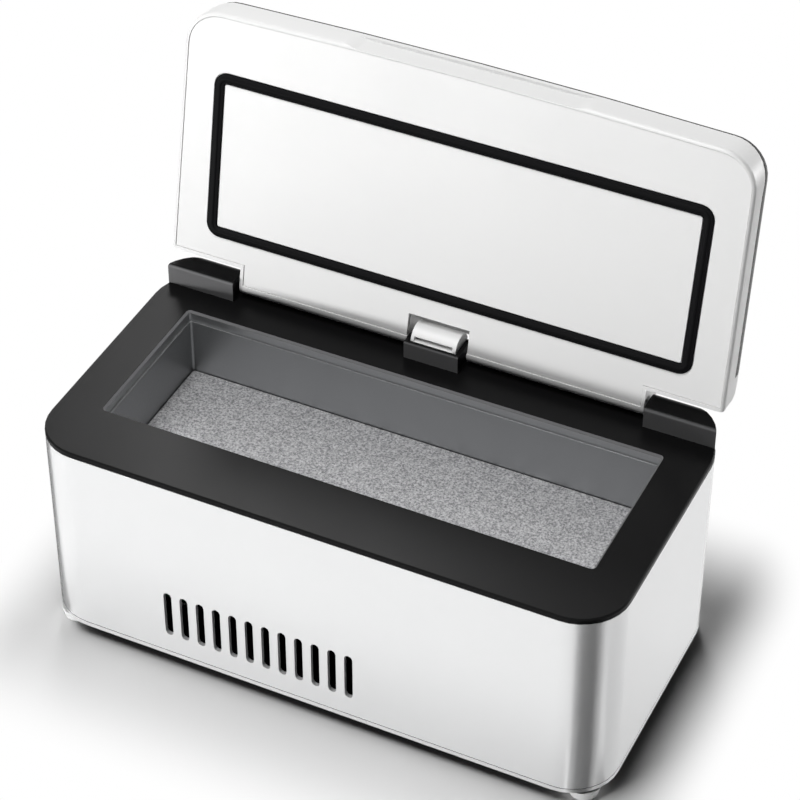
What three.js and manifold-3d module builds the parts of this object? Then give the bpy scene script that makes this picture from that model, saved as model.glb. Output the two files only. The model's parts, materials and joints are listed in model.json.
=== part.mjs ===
// Portable insulin cooling case with its lid open, in millimetres, +Z up, front towards -Y.
// A pale extruded sleeve stands on a moulded base with four feet. A dark bezel closes the top round a cold
// compartment, and a thick insulated lid turns on two pins in the bezel's rear corners.

import * as THREE from 'three';
import { mergeVertices } from 'three/addons/utils/BufferGeometryUtils.js';
import Module from 'manifold-3d';

// Case
const CASE_W = 220;
const CASE_D = 110;
const CASE_R = 18;
const BODY_H = 84;
const SLEEVE_WALL = 1.6;
const BASE_EDGE = 2.5;
const BASE_ROUND = 0.8;
const BEZEL_EDGE = 2;
const BEZEL_CHAMFER = 0.5;
const SKIRT_H = 6;
const SKIRT_T = 1.6;

// Clearances, the floor left under a blind hole, and how far a cut runs past a face
const SEAM = 0.25;
const FIT = 0.3;
const REST = 0.1;
const BLIND_FLOOR = 0.75;
const PAST = 1;

// Feet and the screw channels in the sleeve's corners
const FOOT_H = 5;
const FOOT_TOP_R = 6.2;
const FOOT_BOTTOM_R = 5.2;
const FOOT_ROUND = 0.7;
const CHANNEL_R = 4.4;
const CHANNEL_INSET = 9.2;
const FOOT_SCREW_R = 1.4;
const FOOT_SCREW_L = 15;
const SCREW_HEAD_RATIO = 1.9;
const SCREW_HEAD_H = 1.8;
const FOOT_SCREW_SINK = 1;

// Vent slots in the front and back walls, and the air inlet in the base
const VENT_COUNT = 12;
const VENT_PITCH = 6.5;
const VENT_W = 3.2;
const VENT_H = 20.6;
const VENT_X = -20.9;
const VENT_RISE = 11;
const INLET_W = 3;
const INLET_PITCH = 6;
const INLET_R = 26;

// Cold compartment
const END_FRAME = 17.5;
const SIDE_FRAME = 25;
const PEN_ROOM = 25;
const LID_ROOM = 2;
const CHAMBER_SHIFT = 1.5;
const LIP = 0.75;
const LIP_CHAMFER = 0.8;
const COLLAR_H = 4;
const COLLAR_T = 2;
const TRAY_WALL = 1.2;
const TRAY_LEDGE = 2;
const TRAY_LEDGE_T = 1;
const FLANGE_W = 7;
const FLANGE_T = 1.5;
const TRAY_CORNER = 1;
const PLATE_T = 2;
const TRAY_SCREW_R = 1.1;
const TRAY_SCREW_L = 3.4;
const TRAY_BOSS_R = 2.6;

// Cooling stack
const BLOCK_SIZE = 40;
const BLOCK_T = 8;
const BLOCK_FLANGE_T = 4;
const PELTIER_T = 3.7;
const CERAMIC_T = 0.9;
const ELEMENT_INSET = 1.5;
const SINK_L = 80;
const SINK_D = 72;
const SINK_BASE_T = 4;
const FIN_T = 1.5;
const FIN_COUNT = 13;
const CLAMP_R = 1.1;
const CLAMP_PITCH_COUNT = 4.5;
const PROBE_R = 1.5;
const PROBE_L = 18;
const PROBE_DEPTH = 14;
const FOAM_ROOM = 3;

// Fan
const FAN_SIZE = 60;
const FAN_T = 10;
const FAN_BORE_R = 27.5;
const FAN_HUB_R = 11.5;
const FAN_BLADES = 7;
const BLADE_CHORD = 8.8;
const BLADE_H = 6.3;
const BLADE_T = 1.5;
const BLADE_CAMBER = 1.2;
const FAN_TIP_GAP = 1;
const FAN_PLATE_T = 1.5;
const FAN_STRUT_W = 3;
const FAN_SHAFT_R = 1.5;
const FAN_SCREW_INSET = 5;
const FAN_SCREW_R = 1.5;
const FAN_SCREW_BITE = 4;
const INLET_ROOM = 11.1;

// Batteries
const CELL_R = 9.2;
const CELL_L = 65;
const CELL_COUNT = 4;
const CELL_WEB = 0.8;
const CELL_NUB_R = 2.8;
const CELL_NUB_H = 1.2;
const HOLDER_END = 3;
const HOLDER_FLOOR = 2;
const HOLDER_RIM = 2;
const HOLDER_GRIP = 3;
const HOLDER_SIDE_GAP = 0.6;
const HOLDER_RIB = 2;
const HOLDER_RIB_L = 40;
const HOLDER_RIB_H = 5;

// Control board and power inlet
const BOARD_W = 34;
const BOARD_L = 84;
const BOARD_T = 1.6;
const BOARD_SIDE_GAP = 13.5;
const BOARD_REAR_GAP = 4;
const STANDOFF_R = 3;
const STANDOFF_H = 4;
const STANDOFF_INSET = 5;
const BOARD_SCREW_R = 1.2;
const BOARD_SCREW_L = 5;
const CHOKE_SIZE = 12;
const CHOKE_H = 6;
const CHIP_SIZE = 8;
const CHIP_H = 1.5;
const CAPACITOR_R = 4;
const CAPACITOR_H = 10;
const CAPACITOR_PITCH = 11;
const BOARD_PARTS_PITCH = 17;
const JACK_W = 9;
const JACK_L = 13;
const JACK_H = 11;
const JACK_NOSE_R = 4;
const JACK_BORE_R = 2.9;
const JACK_BORE_L = 9;
const JACK_PIN_R = 1;

// Hinge
const OPEN_ANGLE = 101;
const KNUCKLE_R = 4;
const PIN_R = 1.6;
const PIN_CLEAR = 0.1;
const PIN_IN_BOSS = 18;
const PIN_IN_LID = 13;
const BOSS_LENGTH = 28.8;
const BOSS_DEPTH = 11;
const BOSS_H = 8.6;
const BOSS_ROUND = 1.2;
const BOSS_SIDE_GAP = 1.1;
const SWING_GAP = 0.45;
const CENTRE_BLOCK_W = 21.4;
const CENTRE_BLOCK_DEPTH = 12.8;
const CENTRE_BLOCK_H = 7.4;
const CENTRE_BLOCK_ROUND = 0.8;
const BARREL_W = 17.8;
const BARREL_TOP = 11.6;
const BARREL_WALL = 1.3;
const BARREL_SLOT_L = 15;
const BARREL_SLOT_H = 1.7;
const BARREL_SLOT_DEPTH = 4;
const BARREL_SLOT_RISE = 8.1;

// Lid
const LID_H = 16;
const LID_GAP = 0.8;
const LID_INSET = 0.9;
const LID_TAPER = 1.7;
const LID_FRONT_INSET = 0.05;
const LID_BOW = 1.4;
const LID_CORNER_R = 14;
const LID_RIM_R = 1.5;
const LID_CROWN_H = 8;
const LID_CROWN_IN = 1.6;
const LID_RIM_W = 1.3;
const LID_WALL = 5.6;
const LID_TOP_T = 1.6;
const LID_END_WALL = 3.7;
const LID_END_ROUND = 8;
const LINER_RECESS = 0.3;
const LINER_T = 1.2;
const LINER_GAP = 0.15;
const LINER_REAR_GAP = 0.4;
const GASKET_W = 3.8;
const GASKET_OVERLAP = 1.65;
const GASKET_SHIFT = 0.5;
const GASKET_CORNER = 5;
const GASKET_GROOVE = 0.6;
const GASKET_AIR = 0.25;
const BEAD_W = 1.6;
const BEAD_H = 0.35;
const SCOOP_L = 94;
const SCOOP_RAMP = 6;
const SCOOP_DEPTH = 1.2;
const SCOOP_H = 10.5;
const PANEL_T = 1.4;
const PANEL_FRONT_H = 2.2;
const PANEL_SIDE_H = 7.2;
const PANEL_SKIRT_T = 0.9;
const PANEL_END_GAP = 1;
const LID_FOAM_T = 5;

// Display and buttons on the lid
const WINDOW_L = 50;
const WINDOW_W = 22;
const WINDOW_T = 1.1;
const WINDOW_R = 2;
const WINDOW_SEAT = 2.5;
const WINDOW_PITCH = 24;
const DISPLAY_MARGIN = 3;
const BUTTON_R = 4.5;
const BUTTON_INSET = 17.8;
const BUTTON_PITCH = 22;
const BUTTON_PROUD = 0.5;
const BUTTON_TRAVEL = 0.4;
const BUTTON_FLANGE = 1;
const BUTTON_FLANGE_T = 0.6;
const SWITCH_SIZE = 6;
const SWITCH_H = 2.2;
const SWITCH_BODY_H = 1.5;
const SWITCH_STEM_R = 1.8;
const LID_BOARD_MARGIN = 7;
const LID_POST_R = 2.6;
const LID_SCREW_R = 1;
const LID_SCREW_L = 3.4;

// Roundness of curved faces
const CORNER_STEPS = 4;
const SMALL_STEPS = 2;
const SLOT_STEPS = 1;
const ROUND_SIDES = 8;
const CELL_SIDES = 12;
const PIN_SIDES = 18;
const FAN_SIDES = 26;
const LOFT_STEPS = 3;

// Heights and places that follow from the sizes above
const zDeck = FOOT_H + BASE_EDGE;
const zTop = FOOT_H + BODY_H;
const zRim = zTop - BEZEL_EDGE;
const zCollar = zTop - COLLAR_H;
const zFloor = zTop - LID_ROOM - PEN_ROOM;
const zPlate = zFloor - PLATE_T;
const zTrayBottom = zPlate - REST - TRAY_LEDGE_T;
const zTrayTop = zCollar - REST;
const zBlock = zPlate - REST - BLOCK_T;
const zPeltier = zBlock - REST - PELTIER_T;
const zSinkTop = zPeltier - REST;
const zSinkBase = zSinkTop - SINK_BASE_T;
const zFan = zDeck + INLET_ROOM;
const zFanTop = zFan + FAN_T;
const insideGap = SLEEVE_WALL + FIT;
const caseFront = -CASE_D / 2;
const caseRear = CASE_D / 2;
const channelX = CASE_W / 2 - CHANNEL_INSET;
const channelY = CASE_D / 2 - CHANNEL_INSET;
const corners = [[-1, -1], [1, -1], [-1, 1], [1, 1]];
const sides = [-1, 1];
const chamberL = CASE_W - 2 * END_FRAME;
const chamberW = CASE_D - 2 * SIDE_FRAME;
const openingL = chamberL + 2 * LIP;
const openingW = chamberW + 2 * LIP;

// The hinge axis lies one knuckle radius inside the rear face and above the lid's inner face.
const zLid = zTop + LID_GAP;
const zLidTop = zLid + LID_H;
const hingeY = caseRear - KNUCKLE_R;
const hingeZ = zLid + KNUCKLE_R;
const bossFront = caseRear - BOSS_DEPTH;
const bossInner = CASE_W / 2 - BOSS_LENGTH;
const notchInner = bossInner - BOSS_SIDE_GAP;
const centreFront = caseRear - CENTRE_BLOCK_DEPTH;
// Farthest reach, from the hinge axis, of a block's rounded front edge.
const swing = (front, height, round) => Math.max(
  hingeY - front,
  Math.hypot(hingeY - front - round, zTop + height - round - hingeZ) + round,
);
const bossReach = Math.max(swing(bossFront, BOSS_H, BOSS_ROUND), Math.hypot(hingeY - bossFront, KNUCKLE_R));
const notchY = hingeY - bossReach - SWING_GAP;
const centreNotchY = hingeY - swing(centreFront, CENTRE_BLOCK_H, CENTRE_BLOCK_ROUND) - SWING_GAP;
const centreNotchX = CENTRE_BLOCK_W / 2 + BOSS_SIDE_GAP;
const panelRear = notchY - LID_END_ROUND - PANEL_END_GAP;

const wasm = await Module();
wasm.setup();
const { Manifold } = wasm;

const finishes = {
  sleeve: { color: 0xe9eaea, roughness: 0.34, metalness: 0.25 },
  white: { color: 0xf2f2f1, roughness: 0.4, metalness: 0 },
  coated: { color: 0xc9cacb, roughness: 0.4, metalness: 0.25 },
  bezel: { color: 0x2b2b2c, roughness: 0.45, metalness: 0 },
  tray: { color: 0x6d6e70, roughness: 0.4, metalness: 0.8 },
  blasted: { color: 0xa9aaab, roughness: 0.65, metalness: 0.9 },
  aluminium: { color: 0xb9bbbd, roughness: 0.4, metalness: 0.9 },
  steel: { color: 0x9a9c9f, roughness: 0.3, metalness: 1 },
  rubber: { color: 0x161617, roughness: 0.7, metalness: 0 },
  foam: { color: 0xd9d6cc, roughness: 0.95, metalness: 0 },
  ceramic: { color: 0xf4f4f0, roughness: 0.6, metalness: 0 },
  plastic: { color: 0x1d1d1f, roughness: 0.5, metalness: 0 },
  cell: { color: 0x2f7d53, roughness: 0.35, metalness: 0 },
  board: { color: 0x1f5a3a, roughness: 0.5, metalness: 0 },
  gloss: { color: 0x0b0b0c, roughness: 0.22, metalness: 0 },
  glass: { color: 0x20242a, roughness: 0.05, metalness: 0 },
  button: { color: 0x3a3b3d, roughness: 0.4, metalness: 0 },
};

const caseGroup = new THREE.Group();
const lidInner = new THREE.Group();

// Turns a closed surface into a solid that can be joined and cut.
function solid(geometry) {
  const bare = geometry.clone();
  bare.deleteAttribute('normal');
  bare.deleteAttribute('uv');
  const merged = mergeVertices(bare, 1e-4);
  const index = merged.index.array;
  const kept = [];
  for (let i = 0; i < index.length; i += 3) {
    const [a, b, c] = [index[i], index[i + 1], index[i + 2]];
    if (a !== b && b !== c && c !== a) kept.push(a, b, c);
  }
  return new Manifold(new wasm.Mesh({
    numProp: 3,
    vertProperties: new Float32Array(merged.attributes.position.array),
    triVerts: new Uint32Array(kept),
  }));
}

// Places a finished solid in the scene as a named piece.
function piece(group, name, body, finish) {
  const { numProp, vertProperties, triVerts } = body.getMesh();
  const positions = new Float32Array((vertProperties.length / numProp) * 3);
  for (let i = 0; i < positions.length / 3; i += 1) {
    positions.set(vertProperties.subarray(i * numProp, i * numProp + 3), i * 3);
  }
  const geometry = new THREE.BufferGeometry();
  geometry.setAttribute('position', new THREE.BufferAttribute(positions, 3));
  geometry.setIndex(new THREE.BufferAttribute(new Uint32Array(triVerts), 1));
  geometry.computeVertexNormals();
  const mesh = new THREE.Mesh(geometry, new THREE.MeshStandardMaterial(finishes[finish]));
  mesh.name = name;
  group.add(mesh);
}

const join = (...bodies) => bodies.reduce((sum, body) => sum.add(body));
const cut = (body, ...tools) => tools.reduce((rest, tool) => rest.subtract(tool), body);

// Rounded rectangle, centred on cx, cy.
function roundedRect(width, depth, radius, cx = 0, cy = 0) {
  const x = width / 2 - radius;
  const y = depth / 2 - radius;
  const shape = new THREE.Shape();
  shape.absarc(cx + x, cy - y, radius, -Math.PI / 2, 0);
  shape.absarc(cx + x, cy + y, radius, 0, Math.PI / 2);
  shape.absarc(cx - x, cy + y, radius, Math.PI / 2, Math.PI);
  shape.absarc(cx - x, cy - y, radius, Math.PI, Math.PI * 1.5);
  shape.closePath();
  return shape;
}

const caseOutline = (inset) => roundedRect(CASE_W - 2 * inset, CASE_D - 2 * inset, CASE_R - inset);

// A flat outline raised from z0 to z1.
function prism(shape, z0, z1, curveSegments = CORNER_STEPS) {
  const options = { depth: z1 - z0, bevelEnabled: false, curveSegments };
  return solid(new THREE.ExtrudeGeometry(shape, options).translate(0, 0, z0));
}

// A closed frame between an outer and an inner outline.
function frame(outer, inner, z0, z1, curveSegments = CORNER_STEPS) {
  return cut(prism(outer, z0, z1, curveSegments), prism(inner, z0 - PAST, z1 + PAST, curveSegments));
}

// An outline drawn in the Y-Z plane, carried along X.
function alongX(shape, x0, x1) {
  const options = { depth: x1 - x0, bevelEnabled: false, curveSegments: CORNER_STEPS };
  const geometry = new THREE.ExtrudeGeometry(shape, options);
  geometry.rotateX(Math.PI / 2).rotateZ(Math.PI / 2);
  return solid(geometry.translate(x0, 0, 0));
}

// An outline drawn in the X-Z plane, carried along Y.
function alongY(shape, y0, y1) {
  const options = { depth: y1 - y0, bevelEnabled: false, curveSegments: SMALL_STEPS };
  return solid(new THREE.ExtrudeGeometry(shape, options).rotateX(Math.PI / 2).translate(0, y1, 0));
}

function block(x0, x1, y0, y1, z0, z1) {
  const geometry = new THREE.BoxGeometry(x1 - x0, y1 - y0, z1 - z0);
  return solid(geometry.translate((x0 + x1) / 2, (y0 + y1) / 2, (z0 + z1) / 2));
}

// Upright, lengthwise and front-to-back round bars.
function rod(radius, x, y, z0, z1, sideCount = ROUND_SIDES) {
  const geometry = new THREE.CylinderGeometry(radius, radius, z1 - z0, sideCount);
  return solid(geometry.rotateX(Math.PI / 2).translate(x, y, (z0 + z1) / 2));
}

function rodX(radius, y, z, x0, x1, sideCount = ROUND_SIDES) {
  const geometry = new THREE.CylinderGeometry(radius, radius, x1 - x0, sideCount);
  return solid(geometry.rotateZ(Math.PI / 2).translate((x0 + x1) / 2, y, z));
}

function rodY(radius, x, z, y0, y1, sideCount = ROUND_SIDES) {
  const geometry = new THREE.CylinderGeometry(radius, radius, y1 - y0, sideCount);
  return solid(geometry.translate(x, (y0 + y1) / 2, z));
}

// A stack of like outlines, one for each [z, outline] level, skinned into one closed body.
function loft(levels, curveSegments = CORNER_STEPS) {
  const rings = levels.map(([z, shape]) => {
    const points = shape.getPoints(curveSegments);
    if (points[0].distanceTo(points.at(-1)) < 1e-6) points.pop();
    return points.map((p) => [p.x, p.y, z]);
  });
  const count = rings[0].length;
  const positions = rings.flat(2);
  const index = [];
  for (let level = 0; level + 1 < rings.length; level += 1) {
    for (let i = 0; i < count; i += 1) {
      const next = (i + 1) % count;
      const [a, b] = [level * count + i, level * count + next];
      index.push(a, b, b + count, a, b + count, a + count);
    }
  }
  const cap = THREE.ShapeUtils.triangulateShape(rings[0].map(([x, y]) => new THREE.Vector2(x, y)), []);
  const last = (rings.length - 1) * count;
  for (const [a, b, c] of cap) index.push(c, b, a, last + a, last + b, last + c);
  const geometry = new THREE.BufferGeometry();
  geometry.setAttribute('position', new THREE.Float32BufferAttribute(positions, 3));
  geometry.setIndex(index);
  return solid(geometry);
}

// A round body turned about an upright axis from [radius, z] points that start and end on the axis.
function turned(points, x, y, sideCount = ROUND_SIDES) {
  const profile = points.map(([radius, z]) => new THREE.Vector2(radius, z));
  const geometry = new THREE.LatheGeometry(profile, sideCount).rotateX(Math.PI / 2);
  return solid(geometry.translate(x, y, 0));
}

// A pan-head screw pointing up, its head's seat at zSeat.
function screw(radius, length, x, y, zSeat) {
  const head = radius * SCREW_HEAD_RATIO;
  return turned([
    [0, zSeat - SCREW_HEAD_H],
    [head, zSeat - SCREW_HEAD_H],
    [head, zSeat],
    [radius, zSeat],
    [radius, zSeat + length - radius],
    [0, zSeat + length],
  ], x, y);
}

// Outline of an upright slot with round ends, drawn in the X-Z plane.
function slotShape(x, z0, z1, width) {
  const r = width / 2;
  const shape = new THREE.Shape();
  shape.absarc(x, z1 - r, r, 0, Math.PI);
  shape.absarc(x, z0 + r, r, Math.PI, Math.PI * 2);
  shape.closePath();
  return shape;
}

// Sleeve: an extruded tube with a screw channel in each corner and vents through front and back.
const jackX = -(CASE_W / 2 - SLEEVE_WALL - BOARD_SIDE_GAP - BOARD_W / 2);
const zBoard = zDeck + STANDOFF_H + REST;
const zJack = zBoard + BOARD_T + REST;
const zJackAxis = zJack + JACK_H / 2;
const zVent = zDeck + VENT_RISE - BASE_EDGE;
const sleeveBottom = zDeck + SEAM;
const sleeveTop = zRim - SEAM;

let sleeve = frame(caseOutline(0), caseOutline(SLEEVE_WALL), sleeveBottom, sleeveTop);
for (const [sx, sy] of corners) {
  const channel = rod(CHANNEL_R, sx * channelX, sy * channelY, sleeveBottom, sleeveTop);
  sleeve = sleeve.add(channel.intersect(prism(caseOutline(SLEEVE_WALL / 2), sleeveBottom, sleeveTop)));
}
for (const [sx, sy] of corners) {
  sleeve = cut(sleeve, rod(FOOT_SCREW_R + PIN_CLEAR, sx * channelX, sy * channelY, 0, zTop));
}
for (let i = 0; i < VENT_COUNT; i += 1) {
  const x = VENT_X + (i - (VENT_COUNT - 1) / 2) * VENT_PITCH;
  const vent = slotShape(x, zVent, zVent + VENT_H, VENT_W);
  sleeve = cut(sleeve, alongY(vent, caseFront - PAST, caseFront + SLEEVE_WALL + PAST));
  sleeve = cut(sleeve, alongY(vent, caseRear - SLEEVE_WALL - PAST, caseRear + PAST));
}
sleeve = cut(sleeve, rodY(
  JACK_NOSE_R + FIT, jackX, zJackAxis, caseRear - SLEEVE_WALL - PAST, caseRear + PAST, PIN_SIDES,
));
piece(caseGroup, 'body_sleeve', sleeve, 'sleeve');

// Base: a moulding whose lip locates the sleeve, with the air inlet and the seats of what stands on it.
const holderL = CELL_L + CELL_NUB_H + 2 * HOLDER_END + 2 * FIT;
const holderW = CELL_COUNT * (2 * CELL_R + CELL_WEB) + 2 * HOLDER_RIM;
const holderX = channelX - CHANNEL_R - HOLDER_SIDE_GAP - holderL / 2;
const boardRear = caseRear - SLEEVE_WALL - BOARD_REAR_GAP;
const boardFront = boardRear - BOARD_L;
const boardPosts = [[-1, 0], [1, 0], [-1, 1], [1, 1]].map(([sx, end]) => [
  jackX + sx * (BOARD_W / 2 - STANDOFF_INSET),
  end ? boardRear - JACK_L - STANDOFF_INSET : boardFront + STANDOFF_INSET,
]);

let base = loft([
  [FOOT_H, caseOutline(BASE_ROUND)],
  [FOOT_H + BASE_ROUND, caseOutline(0)],
  [zDeck, caseOutline(0)],
]);
const lipTop = zDeck + HOLDER_RIB_H;
base = base.add(frame(caseOutline(insideGap), caseOutline(insideGap + SKIRT_T), zDeck - SEAM, lipTop));
for (const [sx, sy] of corners) {
  base = cut(base, rod(CHANNEL_R + FIT, sx * channelX, sy * channelY, zDeck, lipTop + PAST));
  base = cut(base, rod(FOOT_SCREW_R + FIT, sx * channelX, sy * channelY, 0, zTop));
}
for (const side of sides) {
  const inner = holderX + side * (holderL / 2 + FIT);
  const outer = inner + side * HOLDER_RIB;
  const [x0, x1] = side < 0 ? [outer, inner] : [inner, outer];
  base = base.add(block(x0, x1, -HOLDER_RIB_L / 2, HOLDER_RIB_L / 2, zDeck - SEAM, lipTop));
}
for (const [x, y] of boardPosts) base = base.add(rod(STANDOFF_R, x, y, zDeck - SEAM, zDeck + STANDOFF_H));
for (const [x, y] of boardPosts) base = cut(base, rod(BOARD_SCREW_R + PIN_CLEAR, x, y, zDeck, zTop));
const inletHalf = Math.floor(INLET_R / INLET_PITCH);
for (let i = -inletHalf; i <= inletHalf; i += 1) {
  const reach = Math.sqrt(INLET_R ** 2 - (i * INLET_PITCH) ** 2);
  const inlet = roundedRect(INLET_W, 2 * reach, INLET_W / 2 - SEAM, VENT_X + i * INLET_PITCH, 0);
  base = cut(base, prism(inlet, FOOT_H - PAST, zDeck + PAST, SLOT_STEPS));
}
piece(caseGroup, 'base_plate', base, 'coated');

// Feet: tapered cups, each held by a screw that runs up into the sleeve's corner channel.
const footNames = ['front_left', 'front_right', 'rear_left', 'rear_right'];
const zFootSeat = FOOT_SCREW_SINK + SCREW_HEAD_H;
corners.forEach(([sx, sy], i) => {
  const [x, y] = [sx * channelX, sy * channelY];
  const cup = turned([
    [0, 0],
    [FOOT_BOTTOM_R - FOOT_ROUND, 0],
    [FOOT_BOTTOM_R, FOOT_ROUND],
    [FOOT_TOP_R, FOOT_H - REST],
    [0, FOOT_H - REST],
  ], x, y, PIN_SIDES);
  const counterbore = rod(FOOT_SCREW_R * SCREW_HEAD_RATIO + FIT, x, y, -1, zFootSeat + REST);
  const foot = cut(cup, counterbore, rod(FOOT_SCREW_R + FIT, x, y, -1, FOOT_H));
  piece(caseGroup, `foot_${footNames[i]}`, foot, 'white');
  piece(caseGroup, `foot_screw_${footNames[i]}`, screw(FOOT_SCREW_R, FOOT_SCREW_L, x, y, zFootSeat), 'steel');
});

// Bezel: the dark top frame, its skirt inside the sleeve, the collar round the compartment's mouth, the two
// corner bosses that hold the hinge pins and the centre block that seats the barrel.
const flangeL = chamberL + 2 * TRAY_WALL + 2 * FLANGE_W;
const flangeD = chamberW + 2 * TRAY_WALL + 2 * FLANGE_W;
const trayScrews = corners.map(([sx, sy]) => [
  sx * (flangeL / 2 - FLANGE_W / 2),
  CHAMBER_SHIFT + sy * (flangeD / 2 - FLANGE_W / 2),
]);
function hingeBlock(front, height, round) {
  const top = zTop + height;
  const rearRound = top - hingeZ;
  const shape = new THREE.Shape();
  shape.moveTo(front, zRim);
  shape.lineTo(caseRear, zRim);
  shape.absarc(caseRear - rearRound, hingeZ, rearRound, 0, Math.PI / 2);
  shape.absarc(front + round, top - round, round, Math.PI / 2, Math.PI);
  shape.closePath();
  return shape;
}
const bossShape = hingeBlock(bossFront, BOSS_H, BOSS_ROUND);
const centreBlockShape = hingeBlock(centreFront, CENTRE_BLOCK_H, CENTRE_BLOCK_ROUND);
const barrelR = (CENTRE_BLOCK_DEPTH - BARREL_WALL - FIT) / 2;
const barrelY = caseRear - barrelR;
const barrelZ = zTop + BARREL_TOP - barrelR;

let bezel = loft([
  [zRim, caseOutline(0)],
  [zTop - BEZEL_CHAMFER, caseOutline(0)],
  [zTop, caseOutline(BEZEL_CHAMFER)],
]);
const [skirtOuter, skirtInner] = [caseOutline(insideGap), caseOutline(insideGap + SKIRT_T)];
bezel = bezel.add(frame(skirtOuter, skirtInner, zRim - SKIRT_H, zRim + SEAM));
const collarShape = roundedRect(openingL + 2 * COLLAR_T, openingW + 2 * COLLAR_T, COLLAR_T, 0, CHAMBER_SHIFT);
bezel = bezel.add(prism(collarShape, zCollar, zTop - BEZEL_CHAMFER, SMALL_STEPS));
for (const [x, y] of trayScrews) bezel = bezel.add(rod(TRAY_BOSS_R, x, y, zCollar, zRim + SEAM));
for (const side of sides) {
  const [x0, x1] = side < 0 ? [-CASE_W / 2, -bossInner] : [bossInner, CASE_W / 2];
  const boss = alongX(bossShape, x0, x1);
  bezel = bezel.add(boss.intersect(prism(caseOutline(BEZEL_CHAMFER / 2), zRim + SEAM, zLidTop)));
}
const blockEnd = caseRear - BEZEL_CHAMFER / 2;
const halfBlock = CENTRE_BLOCK_W / 2;
const centreBlock = alongX(centreBlockShape, -halfBlock, halfBlock);
bezel = bezel.add(centreBlock.intersect(prism(caseOutline(BEZEL_CHAMFER / 2), zRim + SEAM, zLidTop)));
const mouth = (grow) => roundedRect(
  openingL + 2 * grow, openingW + 2 * grow, TRAY_CORNER + grow, 0, CHAMBER_SHIFT,
);
bezel = cut(
  bezel,
  prism(mouth(0), zCollar - PAST, zTop + PAST, SMALL_STEPS),
  loft(
    [[zTop - LIP_CHAMFER, mouth(0)], [zTop, mouth(LIP_CHAMFER)], [zTop + REST, mouth(LIP_CHAMFER)]],
    SMALL_STEPS,
  ),
);
for (const [sx, sy] of corners) {
  bezel = cut(bezel, rod(CHANNEL_R + FIT, sx * channelX, sy * channelY, zRim - SKIRT_H - PAST, zRim));
}
for (const [x, y] of trayScrews) {
  const zEnd = zTop - BEZEL_CHAMFER - BLIND_FLOOR;
  bezel = cut(bezel, rod(TRAY_SCREW_R + PIN_CLEAR, x, y, zCollar - PAST, zEnd));
}
for (const side of sides) {
  const ends = [side * (bossInner - PAST), side * (bossInner + PIN_IN_BOSS + FIT)].sort((a, b) => a - b);
  bezel = cut(bezel, rodX(PIN_R + PIN_CLEAR, hingeY, hingeZ, ...ends, PIN_SIDES));
}
const seatHalf = BARREL_W / 2 + FIT;
bezel = cut(
  bezel,
  rodX(barrelR + FIT, barrelY, barrelZ, -seatHalf, seatHalf, PIN_SIDES)
    .intersect(block(-seatHalf, seatHalf, centreFront, caseRear + PAST, zTop, zLidTop)),
);
piece(caseGroup, 'top_bezel', bezel, 'bezel');

// Barrel: the white half-round cover of the cable way in the hinge line, with a slot along its front.
const halfBarrel = BARREL_W / 2;
const zBarrelSlot = zTop + BARREL_SLOT_RISE;
let barrel = rodX(barrelR, barrelY, barrelZ, -halfBarrel, halfBarrel, PIN_SIDES);
barrel = barrel.intersect(block(-halfBarrel, halfBarrel, centreFront, blockEnd, zTop + REST, zLidTop));
const slotFace = barrelY - Math.sqrt(barrelR ** 2 - (zBarrelSlot - barrelZ) ** 2);
barrel = cut(barrel, block(
  -BARREL_SLOT_L / 2, BARREL_SLOT_L / 2, centreFront, slotFace + BARREL_SLOT_DEPTH,
  zBarrelSlot - BARREL_SLOT_H / 2, zBarrelSlot + BARREL_SLOT_H / 2,
));
piece(caseGroup, 'cable_barrel', barrel, 'white');

// Hinge pins: pressed into the bosses and running in the lid's knuckles.
const pinNames = ['left', 'right'];
sides.forEach((side, i) => {
  const ends = [side * (notchInner - PIN_IN_LID), side * (bossInner + PIN_IN_BOSS)].sort((a, b) => a - b);
  piece(caseGroup, `hinge_pin_${pinNames[i]}`, rodX(PIN_R, hingeY, hingeZ, ...ends, PIN_SIDES), 'steel');
});

// Tray: drawn walls with a flange under the bezel's collar and a ledge that carries the cold plate.
const chamber = (grow) => roundedRect(
  chamberL + 2 * grow, chamberW + 2 * grow, TRAY_CORNER + Math.max(grow, 0), 0, CHAMBER_SHIFT,
);
const zLedge = zTrayBottom + TRAY_LEDGE_T;
const zFlange = zTrayTop - FLANGE_T;
let tray = frame(chamber(TRAY_WALL), chamber(0), zTrayBottom, zTrayTop, SMALL_STEPS);
tray = join(
  tray,
  frame(chamber(TRAY_WALL / 2), chamber(-TRAY_LEDGE), zTrayBottom, zLedge, SMALL_STEPS),
  frame(chamber(TRAY_WALL + FLANGE_W), chamber(TRAY_WALL / 2), zFlange, zTrayTop, SMALL_STEPS),
);
for (const [x, y] of trayScrews) {
  tray = cut(tray, rod(TRAY_SCREW_R + FIT, x, y, zFlange - PAST, zTrayTop + PAST));
}
piece(caseGroup, 'cooling_tray', tray, 'tray');
trayScrews.forEach(([x, y], i) => {
  const body = screw(TRAY_SCREW_R, TRAY_SCREW_L, x, y, zFlange - REST);
  piece(caseGroup, `tray_screw_${i + 1}`, body, 'steel');
});
piece(caseGroup, 'cold_plate', prism(chamber(-FIT), zPlate, zFloor, SMALL_STEPS), 'blasted');

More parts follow.
